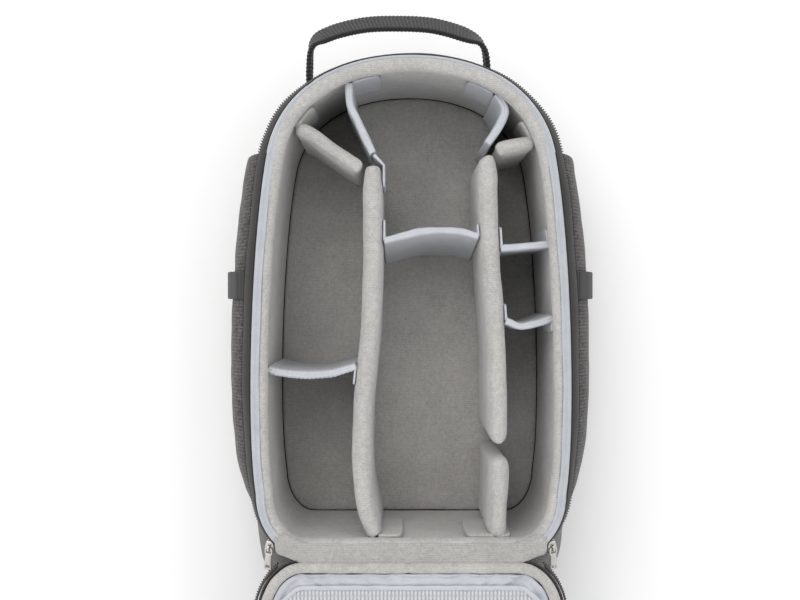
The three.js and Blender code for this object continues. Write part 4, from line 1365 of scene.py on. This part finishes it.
def add_tab(skin, points, top, tall, thick):
    """Sews a flat tab into a divider's mesh, standing along plan points."""
    z = top - tall / 2
    path = dense([at(p.x, p.y, z) for p in points], max(8, len(points)))

    def taper(t):
        return (1.0 - 0.1 * ease((t - 0.85) / 0.15), mix(1.2, 0.8, ease(t * 2)))

    section = rounded(tall, thick, thick * 0.4, side=12, turn=3)
    sweep(path, lambda t: UP, section, shape=taper, skin=skin)


def upright(name, top, against, steps):
    """A divider's cut route, its middle line in the scene, its foot and how tall it stands."""
    line = cut_route(name, against, outline(LINER_IN - 0.4))
    bottom = FLOOR_TOP_Z + 0.4
    path = dense([at(p.x, p.y, (top + bottom) / 2) for p in line[::8] + [line[-1]]], steps)
    return line, path, bottom, top - bottom


def dented(p, n):
    """The shallow dents of a filled divider, in millimetres, fading towards its foot."""
    return n * (wave(p, 38, 2) * 0.7 + wave(p, 13, 5) * 0.35) * ease((p.z / MM - 45) / 20)


def make_firm_dividers(tricot):
    for name, (thick, top, against, tabs) in FIRM.items():
        line, path, bottom, tall = upright(name, top, against, 70)
        firm_end = {"main_divider_right": 1, "main_divider_right_foot": 0}.get(name)

        def shape(t, firm_end=firm_end):
            near = min(t, 1 - t) * 14
            share = mix(0.8, 1.0, ease(near))
            if firm_end is not None and round(t) == firm_end:
                share = mix(0.5, 1.0, ease(min(t, 1 - t) * 26) ** 0.5)
            return (1.0, share)

        section = rounded(tall, thick, thick * 0.42, side=34, turn=5)
        skin = sweep(path, lambda t: UP, section, shape=shape)

        def soft(p, u, v):
            z = p.z / MM
            free = clamp((z - bottom) / 12)
            puff = wave(p, 42, 2) * 1.0 + wave(p, 15, 5) * 0.5
            seam = -0.55 * math.exp(-(((z - (top - 9.5)) / 0.9) ** 2))
            return free * (puff + 0.15 + seam) * (not FULL) - 0.7 * FULL

        skin.push(soft)
        if tabs:
            ends = Skin()
            for end, host, length in tabs:
                spot = line[0] if end == "start" else line[-1]
                add_tab(ends, tab_path(spot, host, length, 2.6), top - 3, 74, 4.2)
            dress(ends.finish(name + "_tabs"), tricot)
        piece = stuffed(skin.finish(name + "_pad"))
        if FULL:
            pressed(piece, dented)
        dress(piece, tricot, node=[name, *FOOT_TABS.get(name, ())])


def make_soft_dividers(nylon):
    for name, (thick, top, against, tabs) in SOFT.items():
        line, path, bottom, tall = upright(name, top, against, 64)
        section = []
        # A stitched seam runs down the middle of the top edge and parts it into two beads
        for a, b in rounded(tall, thick, thick * 0.48, side=36, turn=6):
            dip = 0.9 * math.exp(-((b / 0.8) ** 2)) if a > tall / 2 - 2 else 0.0
            section.append((a - dip, b))
        skin = sweep(path, lambda t: UP, section)
        lean = 14 if name == "shelf_divider" else 0
        cord = name == "cradle_divider"

        def soft(p, u, v):
            z = p.z / MM
            free = clamp((z - bottom) / 12)
            puff = wave(p, 26, 3) * 0.7 + wave(Vector((p.x, p.y, p.z * 0.6)), 8, 6) * 0.4
            if cord and z > top - 9:
                puff += 0.5 * math.sin(v / MM * 1.7) * clamp((z - top + 9) / 4)
            stitched = -0.5 * math.exp(-(((z - (top - 7)) / 0.7) ** 2))
            return free * (puff + stitched + 0.1)

        skin.push(soft)
        if lean:
            for vert in skin.bm.verts:
                vert.co.y -= lean * (top - vert.co.z / MM) / tall * MM
        for end, host, length in tabs:
            spot = line[0] if end == "start" else line[-1]
            add_tab(skin, tab_path(spot, host, length, 1.6), top - 3, 64, 2.6)
        dress(skin.finish(name + "_pad"), nylon, node=name)


# Haul handle


HANDLE_ROUTE = (
    (-1, 0), (-1.01, 0.4), (-0.97, 0.72), (-0.78, 0.87), (-0.4, 0.98), (0, 1), (0.4, 0.97),
    (0.78, 0.84), (0.95, 0.7), (1, 0.4), (0.99, 0),
)


def make_handle(webbing):
    line = [at(-11 + a * 82, 186 + b * 71, RIM_Z - 34) for a, b in HANDLE_ROUTE]
    path = dense(line, 440)
    shell = outline(2.0)
    held = [p for p in path if not inside(Vector((p.x / MM, p.y / MM - PACK_Y)), shell)]

    def width(t):
        lean = ease(min(t, 1 - t) / 0.22) * 0.64
        return Vector((0, -math.sin(lean), math.cos(lean)))

    skin = sweep(held, width, rounded(30, 4.4, 2.1, side=22, turn=3))
    turns = arc_lengths([Vector((a * MM, b * MM)) for a, b in rounded(30, 4.4, 2.1, side=22, turn=3)])
    half = turns[-1] / 2

    def ribs(p, u, v):
        across = u if u < half else 2 * half - u
        return 0.42 * math.sin(2 * math.pi * (v + across * 0.14) / (3.6 * MM)) ** 3 + 0.05

    skin.push(ribs)
    dress(skin.finish("haul_handle_webbing", levels=0), webbing, node="haul_handle")


# Side pockets and their webbing


POCKET_TABLE = (
    # along, bulge
    (0.0, 0.0), (0.05, 0.34), (0.14, 0.72), (0.3, 0.93), (0.5, 1.0), (0.75, 1.0), (0.93, 0.94), (1.0, 0.9),
)
POCKET_LOW, POCKET_HIGH = BACK_Z + 14, RIM_Z - 34
POCKET_FOOT, POCKET_TOP = -196, 140


def pocket_point(side, y, share, lift, slack=0.0):
    z = mix(POCKET_LOW, POCKET_HIGH, share)
    along = clamp((y - POCKET_FOOT) / (POCKET_TOP - POCKET_FOOT))
    stand = math.sin(math.pi * share) ** 0.6 * (20 * in_table(POCKET_TABLE, along)[0] + slack) + lift
    return at(side * (shell_half(y, z) + stand), y, z)


def make_pockets(cloth, webbing):
    steps = [0.5 - 0.5 * math.cos(math.pi * k / 22) for k in range(23)]
    for side, hand in ((-1, "left"), (1, "right")):
        skin = Skin()
        for k in range(61):
            y = mix(POCKET_FOOT, POCKET_TOP, k / 60)
            hem = ease((y - POCKET_TOP + 16) / 2) * 0.7
            outer, inner = [], []
            for share in steps:
                folds = wave(Vector((y * MM, share * 0.05, side)), 22, 4) * 1.2
                folds += wave(Vector((y * MM, share * 0.1, side)), 8, 7) * 0.5
                fall = math.sin(math.pi * share) ** 0.8
                ripple = hem * 0.5 * math.sin(share * 60)
                outer.append(pocket_point(side, y, share, 2.9 + hem + (folds + 0.3 + ripple) * fall))
                inner.append(pocket_point(side, y, share, 1.5 + (folds + 0.3) * fall))
            skin.ring(outer + inner[::-1])
        skin.cap(skin.first)
        skin.cap(skin.last)
        piece = skin.finish(f"side_pocket_cloth_{hand}")
        dress(piece, cloth, node=f"side_pocket_{hand}")
        cut(piece)
        path = [pocket_point(side, 14, share, 4.6, 3) for share in steps]
        section = rounded(26, 1.9, 0.7, side=12, turn=1)
        skin = sweep(dense(path, 60), lambda t: Vector((0, 1, 0)), section)
        skin.push(lambda p, u, v: 0.16 * math.sin(v / MM * 2.6))
        dress(skin.finish(f"side_web_{hand}"), webbing, node=f"side_webbing_{hand}")


# Harness on the side that the pack lies on


# Middle height of the straps that the pack lies on, and the foam pads' lowest and highest place
STRAP_Z = 6.5
PAD_Z = (13.3, 26.3)
STRAP_TABLE = (
    # place along the strap, across, width
    (0.0, 0.5, 0.8), (0.15, 0.56, 0.95), (0.35, 0.72, 1.0), (0.58, 0.85, 1.0), (0.78, 0.82, 0.85),
    (0.92, 0.75, 0.68), (1.0, 0.75, 0.62),
)


def make_back_pads(mesh):
    """Two columns and a yoke of foam under spacer mesh, with pressed channels across the columns."""
    plans = [("yoke_pad", -86, 86, 128.3, 178, 24)]
    for side, hand in ((-1, "left"), (1, "right")):
        x0, x1 = sorted((side * 13, side * 113))
        plans.append((f"back_pad_{hand}", x0, x1, -190, 128, 30))
    for node, x0, x1, y0, y1, r in plans:
        low, high = PAD_Z
        width, length = x1 - x0, y1 - y0
        bm = bmesh.new()
        bmesh.ops.create_grid(bm, x_segments=44, y_segments=max(18, int(length / 3)), size=1)
        inset = 0.4
        for v in bm.verts:
            u, w = v.co.x, v.co.y
            x = u * (width / 2 - inset)
            y = w * (length / 2 - inset)
            # Corners drawn in to the plan's radius
            cx, cy = max(abs(x) - (width / 2 - r), 0), max(abs(y) - (length / 2 - r), 0)
            if cx > 0 and cy > 0:
                far = math.hypot(cx, cy)
                square = max(cx, cy)
                k = square / far
                x = math.copysign(width / 2 - r + cx * k, x)
                y = math.copysign(length / 2 - r + cy * k, y)
            v.co = at(x + (x0 + x1) / 2, y + (y0 + y1) / 2, 0)
            edge = min(width / 2 - abs(x), length / 2 - abs(y))
            if cx > 0 and cy > 0:
                edge = r - math.hypot(cx * k, cy * k)
            rise = clamp(edge / 9) ** 0.5
            groove = 0.0
            if node != "yoke_pad":
                for g in (-0.72, -0.26, 0.2, 0.66):
                    groove = max(groove, math.exp(-(((y - g * length / 2) / 3.2) ** 2)))
            depth = (1 - 0.5 * groove) * rise
            v.co.z = (high - (high - low - 1.2) * depth) * MM
        faces = list(bm.faces)
        made = bmesh.ops.extrude_face_region(bm, geom=faces)["geom"]
        for v in made:
            if isinstance(v, bmesh.types.BMVert):
                v.co.z = high * MM
        bmesh.ops.recalc_face_normals(bm, faces=bm.faces)
        uv = bm.loops.layers.uv.new("UVMap")
        for face in bm.faces:
            for loop in face.loops:
                loop[uv].uv = (loop.vert.co.x, loop.vert.co.y)
        piece = stuffed(finished(node + "_foam", bm, 1), voxel=4.0, cap=1.2)
        dress(piece, mesh, node=node)


def make_straps(mesh, webbing, plastic):
    for side, hand in ((-1, "left"), (1, "right")):
        spots = [
            at(side * in_table(STRAP_TABLE, t)[0] * 100, mix(178, -120, t), STRAP_Z)
            for t in [k / 24 for k in range(25)]
        ]
        path = dense(spots, 90)

        def shape(t):
            end = min(t, 1 - t)
            wide = in_table(STRAP_TABLE, t)[1] * mix(0.9, 1, ease(end * 16))
            return (wide, mix(0.62, 1.0, ease(end * 14)))

        section = []
        for a, b in rounded(62, 12.6, 4.6, side=26, turn=4):
            seam = 1.3 * math.exp(-(((abs(a) - 24.5) / 1.5) ** 2)) + 0.6 * math.exp(-((a / 2.2) ** 2))
            section.append((a, b - math.copysign(seam, b) if abs(b) > 3 else b))
        skin = sweep(path, lambda t: Vector((1, 0, 0)), section, shape=shape)
        skin.push(lambda p, u, v: min(wave(p, 30, 2) * 0.5, 0.1))
        pad = stuffed(skin.finish(f"shoulder_pad_{hand}"), voxel=3.5, cap=0.5)
        dress(pad, mesh, node=f"shoulder_strap_{hand}")

        x = side * 75
        top = -120.75
        bm = bmesh.new()
        bmesh.ops.create_cube(bm, size=1.0)
        bmesh.ops.subdivide_edges(
            bm, edges=[e for e in bm.edges if abs((e.verts[0].co - e.verts[1].co).y) > 0.5], cuts=4
        )
        for v in bm.verts:
            v.co = at(x + v.co.x * 34, top - 13 + v.co.y * 26, STRAP_Z + v.co.z * 6.8)
        bars = [f for f in bm.faces if abs(f.normal.z) > 0.9]
        bmesh.ops.inset_individual(
            bm, faces=bars[1:4] + bars[6:9], thickness=1.6 * MM, depth=-1.6 * MM
        )
        bevelled(bm, 0.6 * MM, angle=0.6)
        dress(finished(f"strap_adjuster_{hand}", bm), plastic, node=f"strap_buckle_{hand}")

        line = [at(x, mix(-147.1, -214.8, i / 39), STRAP_Z) for i in range(40)]
        skin = sweep(line, lambda t: Vector((1, 0, 0)), rounded(25, 1.8, 0.6, side=12, turn=1))
        skin.push(lambda p, u, v: 0.14 * math.sin(v / MM * 2.6) + 0.03)
        dress(skin.finish(f"strap_tail_{hand}"), webbing, node=f"strap_webbing_{hand}")


# Zip sliders and pulls


# The right pull's pin, and the directions of its slider; the left one is its mirror
PIN_AHEAD, PIN_RISE = 0.8, 1.35
PULL_HALF = 0.6
PIVOT = Vector((129.168, -28.703, 169.769))
AHEAD = Vector((0.08633, -0.91093, -0.40342))
ACROSS = Vector((0.94404, 0.20419, -0.25903))
FACE = Vector((0.31834, -0.35848, 0.87758))


def slider_place(side):
    """Puts a point of the slider's own frame (along the teeth, across, out of the face) on the pack."""

    def place(p):
        q = PIVOT + AHEAD * (p.x - PIN_AHEAD) + ACROSS * p.y + FACE * (p.z - PIN_RISE)
        return Vector((side * q.x, q.y, q.z)) * MM

    return place


def bevelled(bm, width, segments=2, angle=0.5):
    edges = [e for e in bm.edges if e.is_manifold and e.calc_face_angle(0) > angle]
    bmesh.ops.bevel(
        bm, geom=edges, offset=width, offset_type="OFFSET", segments=segments, profile=0.5,
        affect="EDGES", material=-1, clamp_overlap=True,
    )


def make_sliders(metal):
    for side, hand in ((-1, "left"), (1, "right")):
        place = slider_place(side)
        # Body: two plates joined by a wedge at the front, drawn in towards the back
        bm = bmesh.new()
        for low, high in ((-1.5, 0.0), (-4.5, -3.0)):
            start = len(bm.verts)
            made = bmesh.ops.create_cube(bm, size=1.0)["verts"]
            edges = {
                e for v in made for e in v.link_edges if abs((e.verts[0].co - e.verts[1].co).x) > 0.5
            }
            bmesh.ops.subdivide_edges(bm, edges=list(edges), cuts=5)
            for v in list(bm.verts)[start:]:
                x = v.co.x
                narrow = mix(0.72, 1.0, ease((x + 0.5) * 1.6)) * mix(1.0, 0.82, ease((x - 0.35) * 6))
                v.co = Vector((x * 12, v.co.y * 9 * narrow, mix(low, high, v.co.z + 0.5)))
        made = bmesh.ops.create_cube(bm, size=1.0)["verts"]
        for v in made:
            v.co = Vector((4.4 + v.co.x * 3, v.co.y * (2.4 if v.co.x < 0 else 5.5), -2.25 + v.co.z * 1.7))
        bevelled(bm, 0.45)
        # Bridge over the top plate, a bent bar that the pull's eye goes round
        arch = [(-2.85, -0.6), (-2.85, 1.6), (-2.5, 2.9), (-1.6, 3.35), (0, 3.35), (1.6, 3.35), (2.5, 2.9),
                (2.85, 1.6), (2.85, -0.6)]
        line = dense([Vector((x, 0, z)) for x, z in arch], 40)
        skin = Skin()
        skin.bm.free()
        skin.bm = bm
        skin.uv = bm.loops.layers.uv.new("UVMap")
        bar = rounded(2.2, 1.25, 0.5, side=2, turn=2)
        sweep([p * MM for p in line], lambda t: Vector((0, 1, 0)), bar, skin=skin)
        for v in bm.verts:
            if v in skin.spot:
                v.co = v.co / MM
        for v in bm.verts:
            v.co = place(v.co)
        piece = skin.finish(f"slider_body_{hand}", levels=0)
        dress(piece, metal, node=f"zip_slider_{hand}")

        # Pull: a flat tag that waists behind its eye
        bm = bmesh.new()
        outer = [(-0.65, 2.2), (-0.65, -2.2), (0.4, -3.9), (4.5, -4.0), (7.4, -3.0), (10, -3.1), (18, -3.9),
                 (22.3, -3.9), (23.35, -2.6), (23.35, 2.6), (22.3, 3.9), (18, 3.9), (10, 3.1), (7.4, 3.0),
                 (4.5, 4.0), (0.4, 3.9)]
        hole = [(0.65, 1.6), (0.65, -1.6), (1.2, -2.5), (4.8, -2.5), (5.6, -1.6), (5.6, 1.6), (4.8, 2.5),
                (1.2, 2.5)]
        slot_hole = [(18.4, 1.2), (18.4, -1.2), (19.2, -2.0), (20.8, -2.0), (21.5, -1.2), (21.5, 1.2),
                     (20.8, 2.0), (19.2, 2.0)]
        loops = []
        for ring in (outer, hole, slot_hole):
            verts = [bm.verts.new(Vector((x + PIN_AHEAD, y, PIN_RISE - PULL_HALF))) for x, y in ring]
            loops += [bm.edges.new((verts[i], verts[(i + 1) % len(verts)])) for i in range(len(verts))]
        flat = bmesh.ops.triangle_fill(bm, edges=loops, use_beauty=True, use_dissolve=False)["geom"]
        faces = [g for g in flat if isinstance(g, bmesh.types.BMFace)]
        made = bmesh.ops.extrude_face_region(bm, geom=faces)["geom"]
        for v in made:
            if isinstance(v, bmesh.types.BMVert):
                v.co.z = PIN_RISE + PULL_HALF
        bmesh.ops.recalc_face_normals(bm, faces=bm.faces)
        bevelled(bm, 0.28, 2, 0.9)
        for v in bm.verts:
            v.co = place(v.co)
        bmesh.ops.recalc_face_normals(bm, faces=bm.faces)
        dress(
            finished(f"slider_pull_{hand}", bm), metal, body=f"pull_{hand}", node=f"zip_pull_{hand}",
        )


# Stage


def make_stage(height, power):
    scene = bpy.context.scene
    bm = bmesh.new()
    bmesh.ops.create_grid(bm, x_segments=1, y_segments=1, size=6)
    floor = finished("floor", bm, smooth=False)
    paper = Finish("floor_paper", Roughness=0.9, Specular_IOR_Level=0.1)
    cloud = paper.grain(0.4, 2)
    paper.feed(Base_Color=paper.blend(cloud, (0.95, 0.95, 0.955, 1), (0.97, 0.97, 0.975, 1)))
    floor.data.materials.append(paper.material)

    camera = bpy.data.objects.new("camera", bpy.data.cameras.new("camera"))
    camera.location = (-9.9 * MM, PACK_Y * MM, height)
    camera.data.lens = 50
    camera.data.sensor_width = 36
    camera.data.clip_start = 0.05
    scene.collection.objects.link(camera)
    scene.camera = camera

    for name, spot, aim, size, share, warm in (
        ("light_key", (-0.5, 1.3, 2.3), (0, 0, 0.1), 1.6, 1.0, (1, 0.985, 0.96)),
        ("light_fill", (1.6, -0.2, 1.9), (0, 0, 0.1), 1.8, 0.5, (0.96, 0.98, 1)),
        ("light_low", (-1.8, -0.6, 1.5), (0, 0, 0.1), 1.8, 0.42, (1, 1, 1)),
    ):
        light = bpy.data.lights.new(name, "AREA")
        light.shape = "SQUARE"
        light.size = size
        light.energy = power * share
        light.color = warm
        lamp = bpy.data.objects.new(name, light)
        lamp.location = spot
        lamp.rotation_euler = (Vector(aim) - Vector(spot)).to_track_quat("-Z", "Y").to_euler()
        scene.collection.objects.link(lamp)

    world = bpy.data.worlds.new("studio")
    world.use_nodes = True
    sky = world.node_tree.nodes["Background"]
    sky.inputs["Color"].default_value = (1, 1, 1, 1)
    sky.inputs["Strength"].default_value = 0.86
    scene.world = world
    scene.view_settings.view_transform = "Standard"


# Settings, operators and panel


def colour_property(name, description, default):
    return bpy.props.FloatVectorProperty(
        name=name, description=description, default=default, subtype="COLOR", min=0, max=1, size=3
    )


class BackpackSizes(bpy.types.PropertyGroup):
    """Sizes of the stage that a user may change."""

    camera_height: bpy.props.FloatProperty(
        name="Camera height", description="Height of the camera over the floor", default=1.18,
        min=0.6, max=4.0, unit="LENGTH", subtype="DISTANCE",
    )
    light_power: bpy.props.FloatProperty(
        name="Light power", description="Power of the main soft light", default=21.0, min=1.0,
        max=200.0, unit="POWER",
    )


class BackpackColours(bpy.types.PropertyGroup):
    """Colours of the cloths and metal."""

    shell: colour_property("Shell cloth", "Dark woven cloth outside", (0.024, 0.022, 0.021))
    pocket: colour_property("Pocket cloth", "Stretch cloth of the side pockets", (0.036, 0.033, 0.032))
    webbing: colour_property("Webbing", "Handle and straps", (0.0095, 0.0088, 0.0088))
    tape: colour_property("Zip tape", "Woven tape of the zip", (0.020, 0.0185, 0.018))
    teeth: colour_property("Zip teeth", "Coil of the zip", (0.016, 0.015, 0.015))
    tricot: colour_property("Tricot", "Brushed grey padding", (0.43, 0.42, 0.405))
    nylon: colour_property("Nylon", "Light lining and soft dividers", (0.50, 0.52, 0.56))
    mesh: colour_property("Lining mesh", "Crinkled mesh in the lid", (0.54, 0.55, 0.58))
    foam: colour_property("Spacer mesh", "Harness and back pads", (0.020, 0.020, 0.021))
    plastic: colour_property("Plastic", "Strap adjusters", (0.012, 0.012, 0.012))
    metal: colour_property("Slider metal", "Zip sliders and pulls", (0.62, 0.6, 0.57))


def colours():
    return bpy.context.scene.backpack_colours


class BACKPACK_OT_stage(bpy.types.Operator):
    """Adds the floor, soft lights and camera"""

    bl_idname = "backpack.stage"
    bl_label = "Stage"

    def execute(self, context):
        sizes = context.scene.backpack_sizes
        make_stage(sizes.camera_height, sizes.light_power)
        return {"FINISHED"}


class BACKPACK_OT_shell(bpy.types.Operator):
    """Adds the dark outer cloth and the piping round its back seam"""

    bl_idname = "backpack.shell"
    bl_label = "Shell"

    def execute(self, context):
        make_shell(dark_cloth("shell_weave", colours().shell, panel=(0.13, 0.127, 0.124)))
        make_piping(webbing_cloth("piping_weave", colours().webbing, pitch=0.0016))
        return {"FINISHED"}


class BACKPACK_OT_lining(bpy.types.Operator):
    """Adds the padded wall and floor of the compartment"""

    bl_idname = "backpack.lining"
    bl_label = "Padded lining"

    def execute(self, context):
        tricot = tricot_cloth("wall_tricot", colours().tricot)
        make_wall_padding(tricot)
        make_floor_padding(tricot)
        return {"FINISHED"}


class BACKPACK_OT_rim(bpy.types.Operator):
    """Adds the rim's binding and the main zip's tape and coil"""

    bl_idname = "backpack.rim"
    bl_label = "Rim and zip"

    def execute(self, context):
        make_rim_binding(nylon_cloth("binding_nylon", shade(colours().nylon, 0.88), 0.8))
        make_zip(tape_cloth("zip_tape_twill", colours().tape), moulded_plastic("zip_coil", colours().teeth))
        return {"FINISHED"}


class BACKPACK_OT_lid(bpy.types.Operator):
    """Adds the lid with its border roll, lining, pocket and zip"""

    bl_idname = "backpack.lid"
    bl_label = "Lid"

    def execute(self, context):
        c = colours()
        nylon = nylon_cloth("lid_nylon", c.nylon, 0.9)
        tricot = tricot_cloth("lid_tricot", c.tricot)
        make_lid_shell(dark_cloth("lid_weave", c.shell))
        make_lid_roll(tricot)
        make_lid_lining(nylon)
        make_lid_pocket(mesh_cloth("lid_crinkle_mesh", c.mesh), nylon)
        make_lid_zip(tape_cloth("lid_zip_twill", c.tape), moulded_plastic("lid_zip_coil", c.teeth))
        # The hinge strip's tricot is the padding's grey made darker: painted shade at the foot of the open
        # pack.
        make_hinge(tricot_cloth("hinge_tricot_painted_shade", shade(c.tricot, 0.84)[:3]))
        return {"FINISHED"}


class BACKPACK_OT_dividers(bpy.types.Operator):
    """Adds the firm grey dividers and the light soft ones with their tabs"""

    bl_idname = "backpack.dividers"
    bl_label = "Dividers"

    def execute(self, context):
        make_firm_dividers(tricot_cloth("divider_tricot", colours().tricot))
        make_soft_dividers(nylon_cloth("divider_nylon", colours().nylon, 0.8))
        return {"FINISHED"}


class BACKPACK_OT_handle(bpy.types.Operator):
    """Adds the haul handle of ribbed webbing"""

    bl_idname = "backpack.handle"
    bl_label = "Haul handle"

    def execute(self, context):
        make_handle(webbing_cloth("handle_webbing", colours().webbing, pitch=0.0036, slope=0.14))
        return {"FINISHED"}


class BACKPACK_OT_pockets(bpy.types.Operator):
    """Adds the side pockets and the webbing over them"""

    bl_idname = "backpack.pockets"
    bl_label = "Side pockets"

    def execute(self, context):
        make_pockets(
            pocket_cloth("pocket_knit", colours().pocket),
            webbing_cloth("side_webbing_weave", colours().webbing, stitches=(0.002, 0.023)),
        )
        return {"FINISHED"}


class BACKPACK_OT_harness(bpy.types.Operator):
    """Adds the back pads, yoke, shoulder straps, adjusters and strap webbing"""

    bl_idname = "backpack.harness"
    bl_label = "Harness"

    def execute(self, context):
        c = colours()
        foam = air_mesh("harness_mesh", c.foam)
        make_back_pads(foam)
        webbing = webbing_cloth("strap_weave", c.webbing)
        make_straps(foam, webbing, moulded_plastic("adjuster_plastic", c.plastic))
        return {"FINISHED"}


class BACKPACK_OT_sliders(bpy.types.Operator):
    """Adds the two zip sliders and the pulls hinged on them"""

    bl_idname = "backpack.sliders"
    bl_label = "Zip sliders"

    def execute(self, context):
        make_sliders(slider_metal("slider_nickel", colours().metal))
        return {"FINISHED"}


class BACKPACK_PT_panel(bpy.types.Panel):
    """Lists the settings and the pieces"""

    bl_label = "Camera backpack"
    bl_idname = "BACKPACK_PT_panel"
    bl_space_type = "VIEW_3D"
    bl_region_type = "UI"
    bl_category = "Backpack"

    def draw(self, context):
        layout = self.layout
        for group in (context.scene.backpack_sizes, context.scene.backpack_colours):
            box = layout.box()
            for name in group.__annotations__:
                box.prop(group, name)
        for operator in OPERATORS:
            layout.operator(operator.bl_idname)


OPERATORS = (
    BACKPACK_OT_stage,
    BACKPACK_OT_shell,
    BACKPACK_OT_lining,
    BACKPACK_OT_rim,
    BACKPACK_OT_lid,
    BACKPACK_OT_dividers,
    BACKPACK_OT_handle,
    BACKPACK_OT_pockets,
    BACKPACK_OT_harness,
    BACKPACK_OT_sliders,
)
CLASSES = (BackpackSizes, BackpackColours, *OPERATORS, BACKPACK_PT_panel)


def register():
    for cls in CLASSES:
        bpy.utils.register_class(cls)
    bpy.types.Scene.backpack_sizes = bpy.props.PointerProperty(type=BackpackSizes)
    bpy.types.Scene.backpack_colours = bpy.props.PointerProperty(type=BackpackColours)


def unregister():
    del bpy.types.Scene.backpack_colours
    del bpy.types.Scene.backpack_sizes
    for cls in reversed(CLASSES):
        bpy.utils.unregister_class(cls)


def main():
    register()
    for operator in OPERATORS:
        getattr(bpy.ops.backpack, operator.bl_idname.split(".")[1])()


if __name__ == "__main__":
    main()
